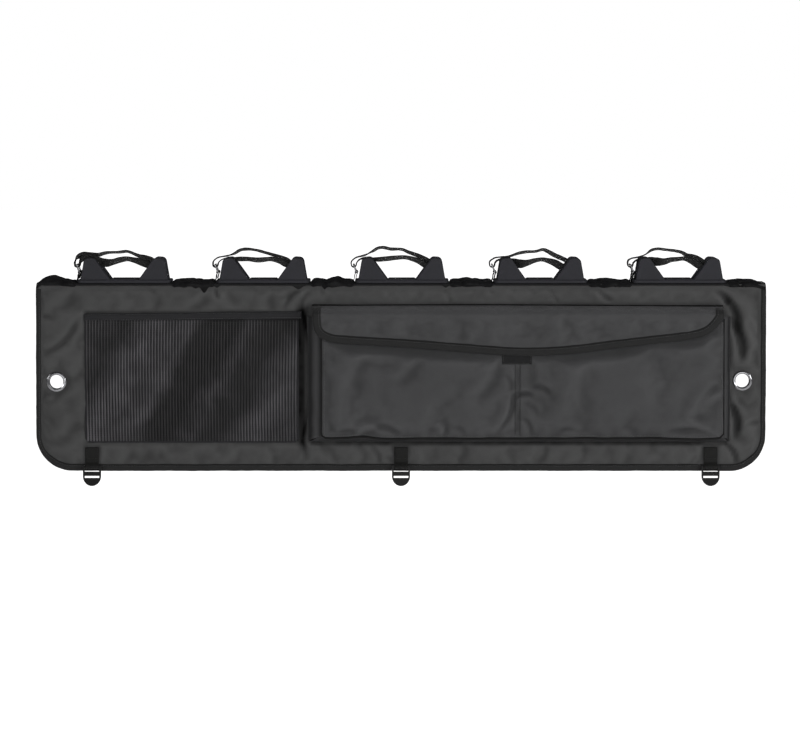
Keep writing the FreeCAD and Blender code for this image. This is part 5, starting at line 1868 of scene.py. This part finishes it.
# ---------------------------------------------------------------- rear webbing
def rear_strap(side_name, centre):
    """Strap sewn to the rear panel, then folded up and down into a bundle."""
    low, high = box_mm("rear_strap_" + side_name)
    width = high[0] - low[0]
    base_y, top, bottom = low[1] + 0.75, high[2], low[2]
    tab_top = box_mm("rear_strap_tabs")[1][2]
    folded = [(0.05, tab_top), (0, top + 4), (0, top - 20), (0, bottom + 2.2),      # y offset, z
              (1.0, bottom + 0.6), (2.1, bottom + 2.2), (2.1, top - 14), (3.1, top - 12.4),
              (4.2, top - 14), (4.2, bottom + 4.4), (5.2, bottom + 3.0), (6.2, bottom + 4.8),
              (6.2, top - 10), (6.3, top - 9)]
    run, path = resample([(centre, base_y + offset, z) for offset, z in folded], 1.3)
    path[:, 0] += 0.35 * noise(run / 40, 0.5, 301 + int(centre))
    obj = make_mesh("rear_webbing_" + side_name, flat_webbing(soften(path), width, 1.35),
                    "webbing")
    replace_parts(obj, "rear_strap_" + side_name)
    if side_name == "left":         # the piece holds all three tabs, so it is replaced once
        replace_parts(obj, "rear_strap_tabs")
    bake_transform(obj)
    # sewn box with a cross
    left, right = centre - width / 2 + 2.4, centre + width / 2 - 2.4
    sewn_low, sewn_high = top + 8, tab_top - 3

    def thread_y(x, z):
        return base_y + 0.8
    lines = box_lines(left, right, sewn_low, sewn_high, 9, thread_y)
    lines.append(straight((left, sewn_low), (right, sewn_high), 9, thread_y))
    lines.append(straight((left, sewn_high), (right, sewn_low), 9, thread_y))
    stitches("rear_tab_stitches_" + side_name, lines, (0, 1, 0), "rear_panel", pitch=2.9,
             length=2.1, radius=0.3)


def strap_keeper(side_name):
    """Elastic keeper round the folded strap: a rounded rectangle seen from above."""
    low, high = box_mm("strap_keeper_" + side_name)
    middle, half = (low + high) / 2, (high - low) / 2
    half_x, half_y, half_z = half[0] - 0.5, half[1] - 0.45, half[2]
    angles = 2 * math.pi * np.arange(40) / 40
    cosine, sine = (np.sign(v) * np.abs(v) ** 0.28 for v in (np.cos(angles), np.sin(angles)))
    path = points(middle[0] + half_x * cosine, middle[1] + half_y * sine, middle[2])
    section = [(-half_z, 0), (-half_z + 0.4, 0.4), (-half_z * 0.5, 0.3), (-half_z * 0.25, 0.45),
               (0, 0.32), (half_z * 0.25, 0.45), (half_z * 0.5, 0.3), (half_z - 0.4, 0.4),
               (half_z, 0), (half_z - 0.4, -0.4), (-half_z + 0.4, -0.4)]
    data = sweep(path, (0, 0, 1), unit(points(cosine, sine, 0.0)), section, closed=True)
    obj = make_mesh("elastic_keeper_" + side_name, data, "elastic", "rear_strap_" + side_name)
    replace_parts(obj, "strap_keeper_" + side_name)


for side_name, tab in zip(SIDES, TABS):
    rear_strap(side_name, tab[0])
    strap_keeper(side_name)

# ---------------------------------------------------------------- studio, in metres
FLOOR_HALF = 40
FLOOR_Z = CAD_BOX[0][2] - 0.45


def build_floor():
    """Wide floor that looks white to the camera."""
    nodes = new_material("studio_white")
    nodes.finish({"Base Color": (0.93, 0.93, 0.93, 1)})
    seen = nodes.add("LightPath").outputs["Is Camera Ray"]
    nodes.finish({
        "Roughness": 0.9,
        "Specular IOR Level": 0.0,
        "Emission Color": (1, 1, 1, 1),
        "Emission Strength": nodes.math("MULTIPLY", seen, 0.98),
        "Base Color": nodes.ramp(nodes.noise(scale=1.5), (0.3, grey(0.92)), (0.7, grey(0.95)))})
    mesh = bpy.data.meshes.new("studio_floor")
    corners = [(-1, -1), (1, -1), (1, 1), (-1, 1)]
    mesh.from_pydata([(x * FLOOR_HALF, y * FLOOR_HALF, FLOOR_Z) for x, y in corners], [],
                     [[0, 1, 2, 3]])
    mesh.materials.append(MATERIALS["studio_white"])
    mesh.polygons.foreach_set("use_smooth", np.ones(len(mesh.polygons), bool))
    obj = bpy.data.objects.new("studio_floor", mesh)
    bpy.context.scene.collection.objects.link(obj)


def build_world():
    """White to the camera, dim in reflections and dimmer overhead than at the sides."""
    world = bpy.data.worlds.new("studio")
    bpy.context.scene.world = world
    world.use_nodes = True
    nodes = Nodes(world.node_tree)
    rays = nodes.add("LightPath").outputs
    up = nodes.split(nodes.add("TexCoord").outputs["Generated"])["Z"]
    overhead = nodes.math("MULTIPLY", nodes.math("MAXIMUM", up, 0.0), 0.45)
    level = nodes.math("MULTIPLY", nodes.math("SUBTRACT", 1.0, overhead), 0.28)
    glossy = nodes.math("MULTIPLY", rays["Is Glossy Ray"], 0.7)
    level = nodes.math("MULTIPLY", level, nodes.math("SUBTRACT", 1.0, glossy))
    camera_ray = rays["Is Camera Ray"]
    level = nodes.math("MULTIPLY", level, nodes.math("SUBTRACT", 1.0, camera_ray))
    level = nodes.math("ADD", level, camera_ray)
    nodes.feed(world.node_tree.nodes["Background"].inputs,
               {"Color": (1, 1, 1, 1), "Strength": level})


def area_light(name, place, size, power, size_y=None, glossy=True):
    """Area light aimed at the middle of the pad, with power in watts."""
    light = bpy.data.lights.new(name, "AREA")
    light.energy = power
    light.size = size
    if size_y:
        light.shape = "RECTANGLE"
        light.size_y = size_y
    obj = bpy.data.objects.new(name, light)
    obj.location = place
    aim = Vector((0, 0, -0.15)) - Vector(place)
    obj.rotation_euler = aim.to_track_quat("-Z", "Y").to_euler()
    bpy.context.scene.collection.objects.link(obj)
    obj.visible_camera = False
    if not glossy:
        obj.visible_glossy = False


VIEW_DISTANCE = 8.0                 # from the front panel's face
VIEW_WIDTH = 1.46448                # width seen at the front panel's face
VIEW_X = -0.0018306
VIEW_CENTRE_Z = -0.1368551          # height the camera looks at
CAMERA_Z = 0.34                     # a little above the cradles
SENSOR_MM = 36.0


def build_camera():
    """Far away with a long lens."""
    data = bpy.data.cameras.new("camera")
    data.sensor_width = SENSOR_MM
    data.lens = SENSOR_MM * VIEW_DISTANCE / VIEW_WIDTH
    data.clip_end = 200
    camera = bpy.data.objects.new("camera", data)
    camera.location = (VIEW_X, FRONT_Y * MM - VIEW_DISTANCE, CAMERA_Z)
    tilt = math.atan2(CAMERA_Z - VIEW_CENTRE_Z, VIEW_DISTANCE)
    camera.rotation_euler = (math.pi / 2 - tilt, 0, 0)
    bpy.context.scene.collection.objects.link(camera)
    bpy.context.scene.camera = camera


build_floor()
build_world()
area_light("key_right", (2.7, -2.1, 0.55), size=0.7, power=49)
area_light("key_left", (-2.6, -2.2, 0.7), size=0.8, power=26)
area_light("front_fill", (0.2, -3.2, 0.4), size=2.0, power=36)
area_light("top_soft", (0, 0.1, 2.4), size=2.0, power=55, size_y=0.8, glossy=False)
area_light("back_soft", (0.5, 3.2, 0.1), size=1.8, power=110, glossy=False)
build_camera()
bpy.context.scene.view_settings.view_transform = "Standard"
bpy.context.scene.view_settings.look = "None"
